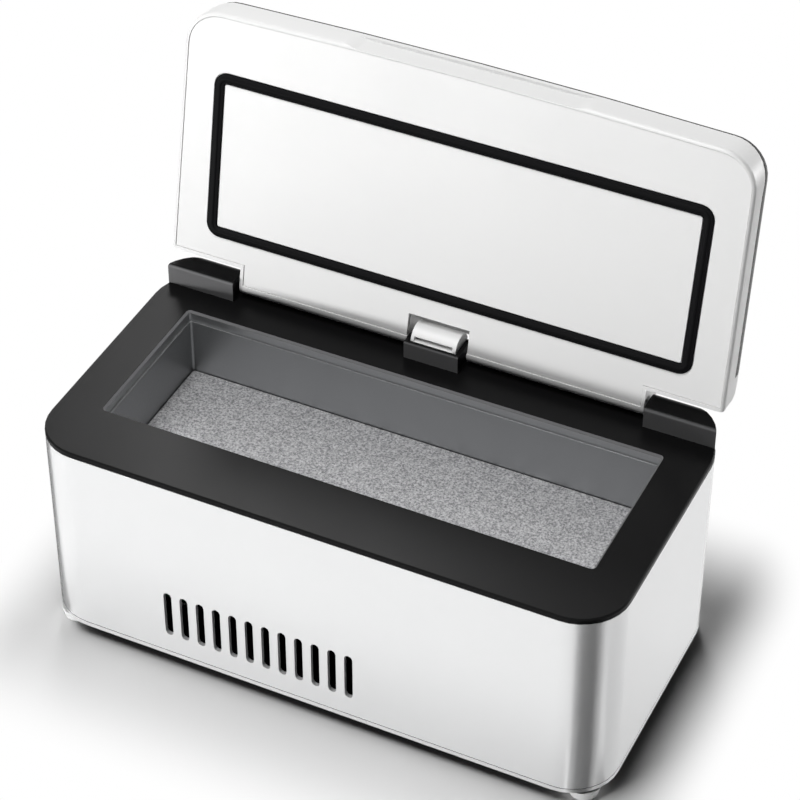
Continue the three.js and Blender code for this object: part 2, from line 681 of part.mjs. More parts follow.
// Foam: insulation moulded round the tray, open below for the cooling stack.
const clampX = CLAMP_PITCH_COUNT * VENT_PITCH;
const blockFlangeL = 2 * (clampX + CLAMP_R * 2 + FIT);
const zFoam = zSinkTop + FIT;
const zFoamTop = zRim - SKIRT_H - FIT;
let foam = prism(caseOutline(insideGap), zFoam, zFoamTop);
foam = cut(
  foam,
  prism(chamber(TRAY_WALL + FIT), zTrayBottom - REST, zFoamTop + PAST, SMALL_STEPS),
  block(
    VENT_X - blockFlangeL / 2 - FOAM_ROOM, VENT_X + blockFlangeL / 2 + FOAM_ROOM,
    -BLOCK_SIZE / 2 - FOAM_ROOM, BLOCK_SIZE / 2 + FOAM_ROOM, zFoam - PAST, zTrayBottom,
  ),
);
for (const [sx, sy] of corners) {
  foam = cut(foam, rod(CHANNEL_R + FIT, sx * channelX, sy * channelY, zFoam - PAST, zFoamTop + PAST));
}
piece(caseGroup, 'tray_foam', foam, 'foam');

// Cold block: carries heat from the cold plate down to the module, with a bored seat for the probe.
const halfBlockSize = BLOCK_SIZE / 2;
const zBlockTop = zPlate - REST;
const zBlockFlange = zBlockTop - BLOCK_FLANGE_T;
const zProbe = (zBlock + zBlockFlange) / 2;
let coldBlock = join(
  block(VENT_X - halfBlockSize, VENT_X + halfBlockSize, -halfBlockSize, halfBlockSize, zBlock, zBlockTop),
  block(
    VENT_X - blockFlangeL / 2, VENT_X + blockFlangeL / 2, -halfBlockSize, halfBlockSize,
    zBlockFlange, zBlockTop,
  ),
);
for (const side of sides) {
  const screwX = VENT_X + side * clampX;
  coldBlock = cut(coldBlock, rod(CLAMP_R + PIN_CLEAR, screwX, 0, zBlock, zBlockTop - BLIND_FLOOR));
}
const probeEnd = VENT_X + halfBlockSize - PROBE_DEPTH;
const probeMouth = VENT_X + halfBlockSize + PAST;
coldBlock = cut(coldBlock, rodX(PROBE_R + PIN_CLEAR, 0, zProbe, probeEnd - FIT, probeMouth));
piece(caseGroup, 'cold_block', coldBlock, 'aluminium');
piece(caseGroup, 'temperature_probe', rodX(PROBE_R, 0, zProbe, probeEnd, probeEnd + PROBE_L), 'steel');

// Thermoelectric module: two ceramic plates with the element field between them, set back from the edges.
const halfModule = BLOCK_SIZE / 2;
const halfElements = halfModule - ELEMENT_INSET;
const module = join(
  block(VENT_X - halfModule, VENT_X + halfModule, -halfModule, halfModule, zPeltier, zPeltier + CERAMIC_T),
  block(
    VENT_X - halfElements, VENT_X + halfElements, -halfElements, halfElements,
    zPeltier + REST, zPeltier + PELTIER_T - REST,
  ),
  block(
    VENT_X - halfModule, VENT_X + halfModule, -halfModule, halfModule,
    zPeltier + PELTIER_T - CERAMIC_T, zPeltier + PELTIER_T,
  ),
);
piece(caseGroup, 'peltier_module', module, 'ceramic');

// Heat sink: a base with fins that run front to back, in line with the vents.
const fanCentre = FAN_SIZE / 2 - FAN_SCREW_INSET;
let sink = block(VENT_X - SINK_L / 2, VENT_X + SINK_L / 2, -SINK_D / 2, SINK_D / 2, zSinkBase, zSinkTop);
for (let i = 0; i < FIN_COUNT; i += 1) {
  const x = VENT_X + (i - (FIN_COUNT - 1) / 2) * VENT_PITCH;
  const fin = block(x - FIN_T / 2, x + FIN_T / 2, -SINK_D / 2, SINK_D / 2, zFanTop + REST, zSinkBase + REST);
  sink = sink.add(fin);
}
for (const [sx, sy] of corners) {
  const [x, y] = [VENT_X + sx * fanCentre, sy * fanCentre];
  sink = cut(sink, rod(FAN_SCREW_R + FIT, x, y, zFanTop - PAST, zFanTop + FAN_SCREW_BITE + PAST));
}
for (const side of sides) {
  sink = cut(sink, rod(CLAMP_R + FIT, VENT_X + side * clampX, 0, zSinkBase - PAST, zSinkTop + PAST));
}
piece(caseGroup, 'heat_sink', sink, 'aluminium');
sides.forEach((side, i) => {
  const length = zBlockTop - BLIND_FLOOR - FIT - zSinkBase;
  const clamp = screw(CLAMP_R, length, VENT_X + side * clampX, 0, zSinkBase - REST);
  piece(caseGroup, `clamp_screw_${pinNames[i]}`, clamp, 'steel');
});

// Fan: a square frame with a motor plate on struts, and a rotor whose shaft runs in the plate.
const bearingR = FAN_SHAFT_R + PIN_CLEAR;
let fanFrame = cut(
  prism(roundedRect(FAN_SIZE, FAN_SIZE, FAN_SCREW_INSET, VENT_X, 0), zFan, zFanTop),
  rod(FAN_BORE_R, VENT_X, 0, zFan - PAST, zFanTop + PAST, FAN_SIDES),
);
const strut = block(
  VENT_X - FAN_BORE_R - PAST, VENT_X + FAN_BORE_R + PAST, -FAN_STRUT_W / 2, FAN_STRUT_W / 2,
  zFan, zFan + FAN_PLATE_T,
);
const crossStrut = block(
  VENT_X - FAN_STRUT_W / 2, VENT_X + FAN_STRUT_W / 2, -FAN_BORE_R - PAST, FAN_BORE_R + PAST,
  zFan, zFan + FAN_PLATE_T,
);
fanFrame = join(fanFrame, strut, crossStrut, rod(FAN_HUB_R, VENT_X, 0, zFan, zFan + FAN_PLATE_T, PIN_SIDES));
fanFrame = cut(fanFrame, rod(bearingR, VENT_X, 0, zFan - PAST, zFan + FAN_T, PIN_SIDES));
for (const [sx, sy] of corners) {
  const [x, y] = [VENT_X + sx * fanCentre, sy * fanCentre];
  fanFrame = cut(fanFrame, rod(FAN_SCREW_R + FIT, x, y, zFan - PAST, zFanTop + PAST));
}
piece(caseGroup, 'fan_frame', fanFrame, 'plastic');
corners.forEach(([sx, sy], i) => {
  const [x, y] = [VENT_X + sx * fanCentre, sy * fanCentre];
  const fanScrew = screw(FAN_SCREW_R, FAN_T + REST + FAN_SCREW_BITE, x, y, zFan - REST);
  piece(caseGroup, `fan_screw_${footNames[i]}`, fanScrew, 'steel');
});

const zRotor = zFan + FAN_PLATE_T + FIT;
const rotorH = FAN_T - FAN_PLATE_T - 2 * FIT;
const bladeTip = FAN_BORE_R - FAN_TIP_GAP;
const bladeSection = new THREE.Shape();
bladeSection.moveTo(-BLADE_CHORD / 2, 0);
bladeSection.quadraticCurveTo(BLADE_CAMBER, BLADE_CAMBER, BLADE_CHORD / 2, BLADE_H);
bladeSection.lineTo(BLADE_CHORD / 2 - BLADE_T, BLADE_H);
bladeSection.quadraticCurveTo(0, BLADE_CAMBER + BLADE_T / 2, -BLADE_CHORD / 2, BLADE_T / 2);
bladeSection.closePath();
const bladeLength = bladeTip - FAN_HUB_R + PAST;
let rotor = join(
  rod(FAN_HUB_R, VENT_X, 0, zRotor, zRotor + rotorH, PIN_SIDES),
  rod(FAN_SHAFT_R, VENT_X, 0, zFan, zRotor + REST, PIN_SIDES),
);
for (let i = 0; i < FAN_BLADES; i += 1) {
  const options = { depth: bladeLength, bevelEnabled: false, curveSegments: LOFT_STEPS };
  const blade = new THREE.ExtrudeGeometry(bladeSection, options);
  blade.rotateX(Math.PI / 2).rotateZ(Math.PI / 2);
  blade.translate(FAN_HUB_R - PAST, 0, zRotor + (rotorH - BLADE_H) / 2);
  blade.rotateZ((i * 2 * Math.PI) / FAN_BLADES).translate(VENT_X, 0, 0);
  rotor = rotor.add(solid(blade));
}
const rotorBarrel = rod(bladeTip, VENT_X, 0, zFan, zFanTop, FAN_SIDES);
piece(caseGroup, 'fan_rotor', rotor.intersect(rotorBarrel), 'plastic');

// Battery holder and its cells, lying side by side.
const zHolder = zDeck + REST;
const zCell = zHolder + HOLDER_FLOOR + CELL_R + FIT;
const cellPitch = 2 * CELL_R + CELL_WEB;
const cellX0 = holderX - holderL / 2 + HOLDER_END + FIT;
let holder = block(
  holderX - holderL / 2, holderX + holderL / 2, -holderW / 2, holderW / 2, zHolder, zCell + HOLDER_GRIP,
);
for (let i = 0; i < CELL_COUNT; i += 1) {
  const y = (i - (CELL_COUNT - 1) / 2) * cellPitch;
  const seat = rodX(CELL_R + FIT, y, zCell, cellX0 - FIT, cellX0 + CELL_L + CELL_NUB_H + FIT, CELL_SIDES);
  const mouthCut = block(
    cellX0 - FIT, cellX0 + CELL_L + CELL_NUB_H + FIT, y - CELL_R - FIT, y + CELL_R + FIT,
    zCell, zCell + CELL_R,
  );
  holder = cut(holder, seat, mouthCut);
  const can = rodX(CELL_R, y, zCell, cellX0, cellX0 + CELL_L, CELL_SIDES);
  const nub = rodX(CELL_NUB_R, y, zCell, cellX0 + CELL_L - PAST, cellX0 + CELL_L + CELL_NUB_H);
  piece(caseGroup, `battery_cell_${i + 1}`, can.add(nub), 'cell');
}
piece(caseGroup, 'battery_holder', holder, 'plastic');

// Control board on its standoffs, with its tall parts, and the power inlet at its rear edge.
const zBoardTop = zBoard + BOARD_T;
const boardMid = (boardFront + boardRear - JACK_L) / 2;
const chipY = boardMid + BOARD_PARTS_PITCH;
const capacitorY = boardMid - BOARD_PARTS_PITCH;
let board = block(jackX - BOARD_W / 2, jackX + BOARD_W / 2, boardFront, boardRear, zBoard, zBoardTop);
board = join(
  board,
  block(
    jackX - CHOKE_SIZE / 2, jackX + CHOKE_SIZE / 2, boardMid - CHOKE_SIZE / 2, boardMid + CHOKE_SIZE / 2,
    zBoardTop - REST, zBoardTop + CHOKE_H,
  ),
  block(
    jackX - CHIP_SIZE / 2, jackX + CHIP_SIZE / 2, chipY - CHIP_SIZE / 2, chipY + CHIP_SIZE / 2,
    zBoardTop - REST, zBoardTop + CHIP_H,
  ),
  ...sides.map((side) => rod(
    CAPACITOR_R, jackX + (side * CAPACITOR_PITCH) / 2, capacitorY, zBoardTop - REST, zBoardTop + CAPACITOR_H,
  )),
);
for (const [x, y] of boardPosts) {
  board = cut(board, rod(BOARD_SCREW_R + FIT, x, y, zBoard - PAST, zBoardTop + PAST));
}
piece(caseGroup, 'control_board', board, 'board');
boardPosts.forEach(([x, y], i) => {
  const head = BOARD_SCREW_R * SCREW_HEAD_RATIO;
  const zSeat = zBoardTop + REST;
  const body = turned([
    [0, zSeat - BOARD_SCREW_L],
    [BOARD_SCREW_R, zSeat - BOARD_SCREW_L + BOARD_SCREW_R],
    [BOARD_SCREW_R, zSeat],
    [head, zSeat],
    [head, zSeat + SCREW_HEAD_H],
    [0, zSeat + SCREW_HEAD_H],
  ], x, y);
  piece(caseGroup, `board_screw_${i + 1}`, body, 'steel');
});
const jackRear = boardRear + REST;
let jack = join(
  block(jackX - JACK_W / 2, jackX + JACK_W / 2, jackRear - JACK_L, jackRear, zJack, zJack + JACK_H),
  rodY(JACK_NOSE_R, jackX, zJackAxis, jackRear - PAST, caseRear, PIN_SIDES),
);
jack = cut(jack, rodY(JACK_BORE_R, jackX, zJackAxis, caseRear - JACK_BORE_L, caseRear + PAST, PIN_SIDES));
jack = jack.add(rodY(JACK_PIN_R, jackX, zJackAxis, caseRear - JACK_BORE_L - PAST, caseRear - PAST));
piece(caseGroup, 'dc_jack', jack, 'plastic');

// Lid outer form, drawn shut: a plan outline with a soft rim and a drawn-in crown, cut by a side profile
// whose rear turns about the hinge axis.
const lidHalfW = CASE_W / 2 - LID_INSET;
const lidFront = caseFront + LID_FRONT_INSET;
const buttonY = lidFront + BUTTON_INSET;
const windowY = buttonY + WINDOW_PITCH;
const lidEnd = caseRear + LID_H;
const lidHalfAt = (y) => lidHalfW - (LID_TAPER * (lidEnd - y)) / (lidEnd - lidFront);
function lidPlan(inset) {
  const r = LID_CORNER_R - inset;
  const front = lidFront + inset;
  const cornerY = front + LID_BOW + r;
  const cornerX = lidHalfAt(cornerY) - inset - r;
  const shape = new THREE.Shape();
  shape.absarc(cornerX, cornerY, r, -Math.PI / 2, 0);
  shape.lineTo(lidHalfW - inset, lidEnd);
  shape.lineTo(-lidHalfW + inset, lidEnd);
  shape.absarc(-cornerX, cornerY, r, Math.PI, Math.PI * 1.5);
  shape.quadraticCurveTo(0, front - LID_BOW, cornerX, front + LID_BOW);
  return shape;
}
const lidLevels = [];
for (let i = 0; i <= LOFT_STEPS; i += 1) {
  const turn = (i / LOFT_STEPS) * (Math.PI / 2);
  lidLevels.push([zLid + LID_RIM_R * (1 - Math.cos(turn)), lidPlan(LID_RIM_R * (1 - Math.sin(turn)))]);
}
for (let i = 0; i <= LOFT_STEPS; i += 1) {
  const turn = (i / LOFT_STEPS) * (Math.PI / 2);
  const z = zLidTop - LID_CROWN_H * (1 - Math.sin(turn));
  lidLevels.push([z, lidPlan(LID_CROWN_IN * (1 - Math.cos(turn)))]);
}
const rearRound = zLidTop - hingeZ;
const lidSide = new THREE.Shape();
lidSide.moveTo(lidFront - PAST, zLid - PAST);
lidSide.lineTo(lidFront - PAST, zLidTop + PAST);
lidSide.lineTo(caseRear - rearRound, zLidTop + PAST);
lidSide.absarc(caseRear - rearRound, hingeZ, rearRound, Math.PI / 2, 0, true);
lidSide.absarc(hingeY, hingeZ, KNUCKLE_R, 0, -Math.PI / 2, true);
lidSide.lineTo(hingeY, zLid - PAST);
lidSide.closePath();
let lidForm = loft(lidLevels).intersect(alongX(lidSide, -CASE_W, CASE_W));

// Corner notches clear the swing of the bosses, the centre notch clears the block and the barrel.
const endSwing = hingeY - notchY;
const endRimY = hingeY - Math.sqrt(endSwing ** 2 - KNUCKLE_R ** 2);
const endShape = new THREE.Shape();
endShape.moveTo(endRimY, zLid - PAST);
endShape.lineTo(lidEnd, zLid - PAST);
endShape.lineTo(lidEnd, zLidTop + PAST);
endShape.lineTo(notchY - LID_END_ROUND, zLidTop + PAST);
endShape.lineTo(notchY - LID_END_ROUND, zLidTop);
endShape.absarc(notchY - LID_END_ROUND, zLidTop - LID_END_ROUND, LID_END_ROUND, Math.PI / 2, 0, true);
endShape.absarc(hingeY, hingeZ, endSwing, Math.PI, Math.PI + Math.asin(KNUCKLE_R / endSwing));
endShape.closePath();
const centreShape = new THREE.Shape();
const centreSwing = hingeY - centreNotchY;
centreShape.moveTo(centreNotchY, zLid - PAST);
centreShape.lineTo(lidEnd, zLid - PAST);
centreShape.lineTo(lidEnd, hingeZ + centreSwing);
centreShape.lineTo(hingeY, hingeZ + centreSwing);
centreShape.absarc(hingeY, hingeZ, centreSwing, Math.PI / 2, Math.PI);
centreShape.closePath();
lidForm = cut(
  lidForm,
  alongX(endShape, -CASE_W, -notchInner),
  alongX(endShape, notchInner, CASE_W),
  alongX(centreShape, -centreNotchX, centreNotchX),
);

// Finger scoop along the front edge.
const scoop = new THREE.Shape();
scoop.moveTo(-SCOOP_L / 2, lidFront);
scoop.lineTo(-SCOOP_L / 2 + SCOOP_RAMP, lidFront + SCOOP_DEPTH);
scoop.lineTo(SCOOP_L / 2 - SCOOP_RAMP, lidFront + SCOOP_DEPTH);
scoop.lineTo(SCOOP_L / 2, lidFront);
scoop.lineTo(SCOOP_L / 2, lidFront - PAST);
scoop.lineTo(-SCOOP_L / 2, lidFront - PAST);
scoop.closePath();
lidForm = cut(lidForm, prism(scoop, zLid - PAST, zLid + SCOOP_H));

// Liner outline: follows the lid's edges and corner notches at the width of the shell's rim, and reaches
// the edge of the centre notch.
function linerShape(inset) {
  const r = LID_CORNER_R - inset;
  const front = lidFront + inset;
  const cornerY = front + LID_BOW + r;
  const cornerX = lidHalfAt(cornerY) - inset - r;
  const endY = endRimY - inset;
  const endX = lidHalfAt(endY) - inset;
  const play = inset - LID_RIM_W;
  const rear = hingeY - LINER_REAR_GAP - play;
  const shape = new THREE.Shape();
  shape.absarc(cornerX, cornerY, r, -Math.PI / 2, 0);
  shape.lineTo(endX, endY);
  shape.lineTo(notchInner - inset, endY);
  shape.lineTo(notchInner - inset, rear);
  shape.lineTo(centreNotchX + play, rear);
  shape.lineTo(centreNotchX + play, centreNotchY - play);
  shape.lineTo(-centreNotchX - play, centreNotchY - play);
  shape.lineTo(-centreNotchX - play, rear);
  shape.lineTo(-notchInner + inset, rear);
  shape.lineTo(-notchInner + inset, endY);
  shape.lineTo(-endX, endY);
  shape.absarc(-cornerX, cornerY, r, Math.PI, Math.PI * 1.5);
  shape.quadraticCurveTo(0, front - LID_BOW, cornerX, front + LID_BOW);
  return shape;
}

// Shell: the lid's outer moulding, hollow from below, stepped in round its top for the panel's skirt.
// The skirt's lower edge slopes round the front corners.
const zLiner = zLid + LINER_RECESS;
const zLinerTop = zLiner + LINER_T;
const zPanel = zLidTop - PANEL_T;
const zTopPlate = zPanel - FIT - LID_TOP_T;
const skirtPlan = (gap) => lidPlan(LID_CROWN_IN + PANEL_SKIRT_T + gap);
function skirtSide(gap) {
  const shape = new THREE.Shape();
  shape.moveTo(caseFront - PAST, zLidTop - PANEL_FRONT_H - gap);
  shape.lineTo(lidFront + LID_CROWN_IN, zLidTop - PANEL_FRONT_H - gap);
  shape.lineTo(lidFront + CASE_R, zLidTop - PANEL_SIDE_H - gap);
  shape.lineTo(panelRear + gap, zLidTop - PANEL_SIDE_H - gap);
  shape.lineTo(panelRear + gap, zLidTop + PAST);
  shape.lineTo(caseFront - PAST, zLidTop + PAST);
  shape.closePath();
  return alongX(shape, -CASE_W, CASE_W);
}
const skirtCore = (gap) => prism(skirtPlan(gap), zLid, zPanel - gap);
const skirtRoom = cut(skirtSide(FIT), skirtCore(FIT));
const cavityRear = notchY - LID_END_WALL;
const cavityFront = lidFront + LID_WALL;
const cavity = roundedRect(
  2 * (lidHalfW - LID_WALL), cavityRear - cavityFront, LID_CORNER_R - LID_WALL,
  0, (cavityRear + cavityFront) / 2,
);
const buttonX = [-BUTTON_PITCH, 0, BUTTON_PITCH];
const zBoardSeat = zTopPlate - FIT - BUTTON_FLANGE_T - BUTTON_TRAVEL - REST - SWITCH_H - FIT;
const lidBoardRear = windowY + WINDOW_W / 2 + LID_BOARD_MARGIN;
const lidBoardFront = buttonY - SWITCH_SIZE / 2 - DISPLAY_MARGIN;
const lidBoardHalf = WINDOW_L / 2 + DISPLAY_MARGIN + LID_BOARD_MARGIN;
const lidPosts = sides.map((side) => [
  side * (lidBoardHalf - LID_POST_R), (lidBoardFront + lidBoardRear) / 2,
]);
const windowShape = (grow) => roundedRect(WINDOW_L + 2 * grow, WINDOW_W + 2 * grow, WINDOW_R, 0, windowY);

let shell = cut(
  lidForm,
  prism(linerShape(LID_RIM_W), zLid - PAST, zLinerTop + FIT),
  prism(cavity, zLid - PAST, zTopPlate),
  skirtRoom,
  prism(windowShape(-WINDOW_SEAT), zTopPlate - PAST, zLidTop + PAST),
);
for (const [x, y] of lidPosts) {
  shell = shell.add(rod(LID_POST_R, x, y, zBoardSeat + FIT, zTopPlate + REST));
  shell = cut(shell, rod(LID_SCREW_R + FIT, x, y, zBoardSeat, zBoardSeat + LID_SCREW_L + FIT));
}
for (const x of buttonX) {
  shell = cut(shell, rod(BUTTON_R + FIT, x, buttonY, zTopPlate - PAST, zLidTop, PIN_SIDES));
}
for (const side of sides) {
  const ends = [side * (notchInner + PAST), side * (notchInner - PIN_IN_LID - FIT)].sort((a, b) => a - b);
  shell = cut(shell, rodX(PIN_R + PIN_CLEAR, hingeY, hingeZ, ...ends, PIN_SIDES));
}
piece(lidInner, 'lid_shell', shell, 'white');

// Liner: the inner face, with a groove for the gasket.
const gasketHalf = (extra) => [openingL / 2 + GASKET_OVERLAP + extra, openingW / 2 + GASKET_OVERLAP + extra];
function gasketShape(extra) {
  const [x, y] = gasketHalf(extra);
  return roundedRect(2 * x, 2 * y, GASKET_CORNER + extra, 0, CHAMBER_SHIFT - GASKET_SHIFT);
}
const zGroove = zLiner + GASKET_GROOVE;
const groove = frame(gasketShape(FIT), gasketShape(-GASKET_W - FIT), zLiner - PAST, zGroove, SMALL_STEPS);
const liner = cut(prism(linerShape(LID_RIM_W + LINER_GAP), zLiner, zLinerTop), groove);
piece(lidInner, 'lid_liner', liner, 'white');

// Gasket: a soft frame with a raised bead that meets the bezel round the compartment's mouth.
const zBead = zTop + GASKET_AIR;
const beadInset = (GASKET_W - BEAD_W) / 2;
const gasket = join(
  frame(gasketShape(0), gasketShape(-GASKET_W), zBead + BEAD_H, zGroove - FIT, SMALL_STEPS),
  frame(gasketShape(-beadInset), gasketShape(-beadInset - BEAD_W), zBead, zGroove - FIT - REST, SMALL_STEPS),
);
piece(lidInner, 'lid_gasket', gasket, 'rubber');

// Lid foam.
const foamShape = roundedRect(
  2 * (lidHalfW - LID_WALL - FIT), cavityRear - cavityFront - 2 * FIT, LID_CORNER_R - LID_WALL - FIT,
  0, (cavityRear + cavityFront) / 2,
);
const zLidFoam = zLinerTop + FIT;
const zLidBoard = zBoardSeat - BOARD_T;
const foamTop = Math.min(zLidFoam + LID_FOAM_T, zLidBoard - SCREW_HEAD_H - FIT);
piece(lidInner, 'lid_foam', prism(foamShape, zLidFoam, foamTop), 'foam');

// Top panel: the black outer face, a cap whose skirt follows the shell's crown, deeper along the ends.
let panel = cut(
  lidForm.intersect(skirtSide(0)),
  skirtCore(0),
  prism(windowShape(0), zPanel - PAST, zLidTop + PAST),
);
for (const x of buttonX) {
  panel = cut(panel, rod(BUTTON_R + FIT, x, buttonY, zPanel - PAST, zLidTop + PAST, PIN_SIDES));
}
piece(lidInner, 'lid_top_panel', panel, 'gloss');

// Window, display, board and switches under the panel.
piece(lidInner, 'display_window', prism(windowShape(-FIT), zLidTop - WINDOW_T, zLidTop), 'glass');
const displayShape = roundedRect(
  WINDOW_L + 2 * DISPLAY_MARGIN, WINDOW_W + 2 * DISPLAY_MARGIN, WINDOW_R, 0, windowY,
);
piece(lidInner, 'display_module', prism(displayShape, zBoardSeat + FIT, zTopPlate - FIT), 'glass');
let lidBoard = block(-lidBoardHalf, lidBoardHalf, lidBoardFront, lidBoardRear, zLidBoard, zBoardSeat);
for (const [x, y] of lidPosts) {
  lidBoard = cut(lidBoard, rod(LID_SCREW_R + FIT, x, y, zLidBoard - PAST, zBoardSeat + PAST));
}
piece(lidInner, 'lid_board', lidBoard, 'board');
lidPosts.forEach(([x, y], i) => {
  const body = screw(LID_SCREW_R, LID_SCREW_L + BOARD_T, x, y, zLidBoard - FIT);
  piece(lidInner, `lid_screw_${pinNames[i]}`, body, 'steel');
});

// Buttons: round caps whose flanges sit under the shell's top plate, each above its switch.
const buttonNames = ['left', 'centre', 'right'];
const zCapTop = zTopPlate - FIT;
const zCap = zCapTop - BUTTON_FLANGE_T;
const halfSwitch = SWITCH_SIZE / 2;
buttonX.forEach((x, i) => {
  const switchBody = join(
    block(
      x - halfSwitch, x + halfSwitch, buttonY - halfSwitch, buttonY + halfSwitch,
      zBoardSeat + FIT, zBoardSeat + FIT + SWITCH_BODY_H,
    ),
    rod(SWITCH_STEM_R, x, buttonY, zBoardSeat + FIT + REST, zBoardSeat + FIT + SWITCH_H),
  );
  piece(lidInner, `tact_switch_${buttonNames[i]}`, switchBody, 'plastic');
  const cap = turned([
    [0, zCap],
    [BUTTON_R + BUTTON_FLANGE, zCap],
    [BUTTON_R + BUTTON_FLANGE, zCapTop],
    [BUTTON_R, zCapTop],
    [BUTTON_R, zLidTop + BUTTON_PROUD - FIT],
    [BUTTON_R - FIT, zLidTop + BUTTON_PROUD],
    [0, zLidTop + BUTTON_PROUD - FIT],
  ], x, buttonY, PIN_SIDES);
  piece(lidInner, `button_${buttonNames[i]}`, cap, 'button');
});

// The lid is turned open about the hinge axis.
lidInner.position.set(0, -hingeY, -hingeZ);
const lidHinge = new THREE.Group();
lidHinge.position.set(0, hingeY, hingeZ);
lidHinge.rotation.x = -THREE.MathUtils.degToRad(OPEN_ANGLE);
lidHinge.add(lidInner);

const coolingCase = new THREE.Group();
coolingCase.add(caseGroup, lidHinge);

// The origin is the middle of the whole outline on the floor, with the lid open.
const reach = new THREE.Box3().setFromObject(coolingCase, true);
coolingCase.position.y = -(reach.min.y + reach.max.y) / 2;

export default coolingCase;
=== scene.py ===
# Portable insulin cooling case with its lid open, in metres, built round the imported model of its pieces.
# The sections go from the feet up through the case, then from the lid's shell out to its buttons.

import json
import math

import bmesh
import bpy
from mathutils import Matrix, Vector


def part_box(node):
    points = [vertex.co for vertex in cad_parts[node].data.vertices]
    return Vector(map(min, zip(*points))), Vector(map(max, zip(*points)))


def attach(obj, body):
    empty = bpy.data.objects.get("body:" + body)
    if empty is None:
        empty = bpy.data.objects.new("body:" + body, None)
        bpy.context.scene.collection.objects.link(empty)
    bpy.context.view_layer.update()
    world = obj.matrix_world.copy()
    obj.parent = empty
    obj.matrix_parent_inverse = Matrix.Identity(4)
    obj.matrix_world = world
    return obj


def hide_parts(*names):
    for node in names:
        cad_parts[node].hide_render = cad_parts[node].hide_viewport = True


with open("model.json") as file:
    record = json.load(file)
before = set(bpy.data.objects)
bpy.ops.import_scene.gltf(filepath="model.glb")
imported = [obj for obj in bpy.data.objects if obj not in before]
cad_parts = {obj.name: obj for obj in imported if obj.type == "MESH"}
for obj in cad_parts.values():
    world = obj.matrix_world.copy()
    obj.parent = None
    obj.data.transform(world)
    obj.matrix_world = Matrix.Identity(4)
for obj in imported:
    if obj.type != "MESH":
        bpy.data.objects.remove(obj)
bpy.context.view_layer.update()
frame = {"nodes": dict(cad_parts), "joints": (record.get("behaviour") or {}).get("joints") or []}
nodes = frame["nodes"]


# Feet
# Four tapered cups of white moulded plastic under the corners of the base. A screw in each one's counterbore
# runs up through the base into the sleeve's corner channel. The moulding has a fine matt grain.
MILLIMETRE = 0.001
WELD_GAP = 0.002 * MILLIMETRE
FLAT_ANGLE = math.radians(0.4)
SHARP_ANGLE = math.radians(34)
EASED_ANGLE = math.radians(40)
MIX_FIRST, MIX_SECOND, MIX_RESULT = 6, 7, 2
GLOSS_PLAY = 0.03
FOOT_NAMES = ("foot_front_left", "foot_front_right", "foot_rear_left", "foot_rear_right")
WHITE_LIGHT = (0.88, 0.88, 0.875, 1)
WHITE_DEEP = (0.85, 0.851, 0.847, 1)


def add_node(tree, kind, inputs=None, **settings):
    made = tree.nodes.new(kind)
    for name, value in settings.items():
        setattr(made, name, value)
    for socket, value in (inputs or {}).items():
        made.inputs[socket].default_value = value
    return made


def new_effect(name, inputs, outputs):
    effect = bpy.data.node_groups.new(name, "ShaderNodeTree")
    for socket, value in inputs.items():
        made = effect.interface.new_socket(socket, in_out="INPUT", socket_type="NodeSocketFloat")
        made.default_value = value
    for socket, kind in outputs.items():
        effect.interface.new_socket(socket, in_out="OUTPUT", socket_type=kind)
    return effect, effect.nodes.new("NodeGroupInput"), effect.nodes.new("NodeGroupOutput")


def make_moulded_grain():
    effect, given, result = new_effect(
        "moulded_grain",
        {"Grains per metre": 2200.0, "Depth": 0.00002, "Patches per metre": 18.0},
        {"Grain": "NodeSocketFloat", "Patch": "NodeSocketFloat", "Normal": "NodeSocketVector"},
    )
    place = add_node(effect, "ShaderNodeTexCoord")
    grain = add_node(effect, "ShaderNodeTexNoise", {"Detail": 3.0, "Roughness": 0.55})
    patch = add_node(effect, "ShaderNodeTexNoise", {"Detail": 2.0, "Roughness": 0.5})
    bump = add_node(effect, "ShaderNodeBump", {"Strength": 1.0})
    link = effect.links.new
    link(place.outputs["Object"], grain.inputs["Vector"])
    link(place.outputs["Object"], patch.inputs["Vector"])
    link(given.outputs["Grains per metre"], grain.inputs["Scale"])
    link(given.outputs["Patches per metre"], patch.inputs["Scale"])
    link(given.outputs["Depth"], bump.inputs["Distance"])
    link(grain.outputs["Fac"], bump.inputs["Height"])
    link(grain.outputs["Fac"], result.inputs["Grain"])
    link(patch.outputs["Fac"], result.inputs["Patch"])
    link(bump.outputs["Normal"], result.inputs["Normal"])
    return effect


def new_finish(name, shader_values):
    finish = bpy.data.materials.new(name)
    finish.use_nodes = True
    tree = finish.node_tree
    shader = next(n for n in tree.nodes if n.type == "BSDF_PRINCIPLED")
    for socket, value in shader_values.items():
        shader.inputs[socket].default_value = value
    return finish, tree, shader


def place_effect(tree, effect, inputs):
    placed = add_node(tree, "ShaderNodeGroup", node_tree=effect)
    for socket, value in inputs.items():
        placed.inputs[socket].default_value = value
    return placed


def spread(tree, source, low, high):
    """A number that runs from low to high as source runs over the middle of its range."""
    ramp = add_node(
        tree, "ShaderNodeMapRange",
        {"From Min": 0.3, "From Max": 0.7, "To Min": low, "To Max": high},
    )
    tree.links.new(source, ramp.inputs["Value"])
    return ramp.outputs["Result"]


def blend_colours(tree, share, first, second):
    """Goes from the first colour to the second by the given share. Each is plain or comes from a node."""
    mix = add_node(tree, "ShaderNodeMix", data_type="RGBA")
    for socket, colour in ((MIX_FIRST, first), (MIX_SECOND, second)):
        if isinstance(colour, bpy.types.NodeSocket):
            tree.links.new(colour, mix.inputs[socket])
        else:
            mix.inputs[socket].default_value = colour
    tree.links.new(share, mix.inputs["Factor"])
    return mix.outputs[MIX_RESULT]


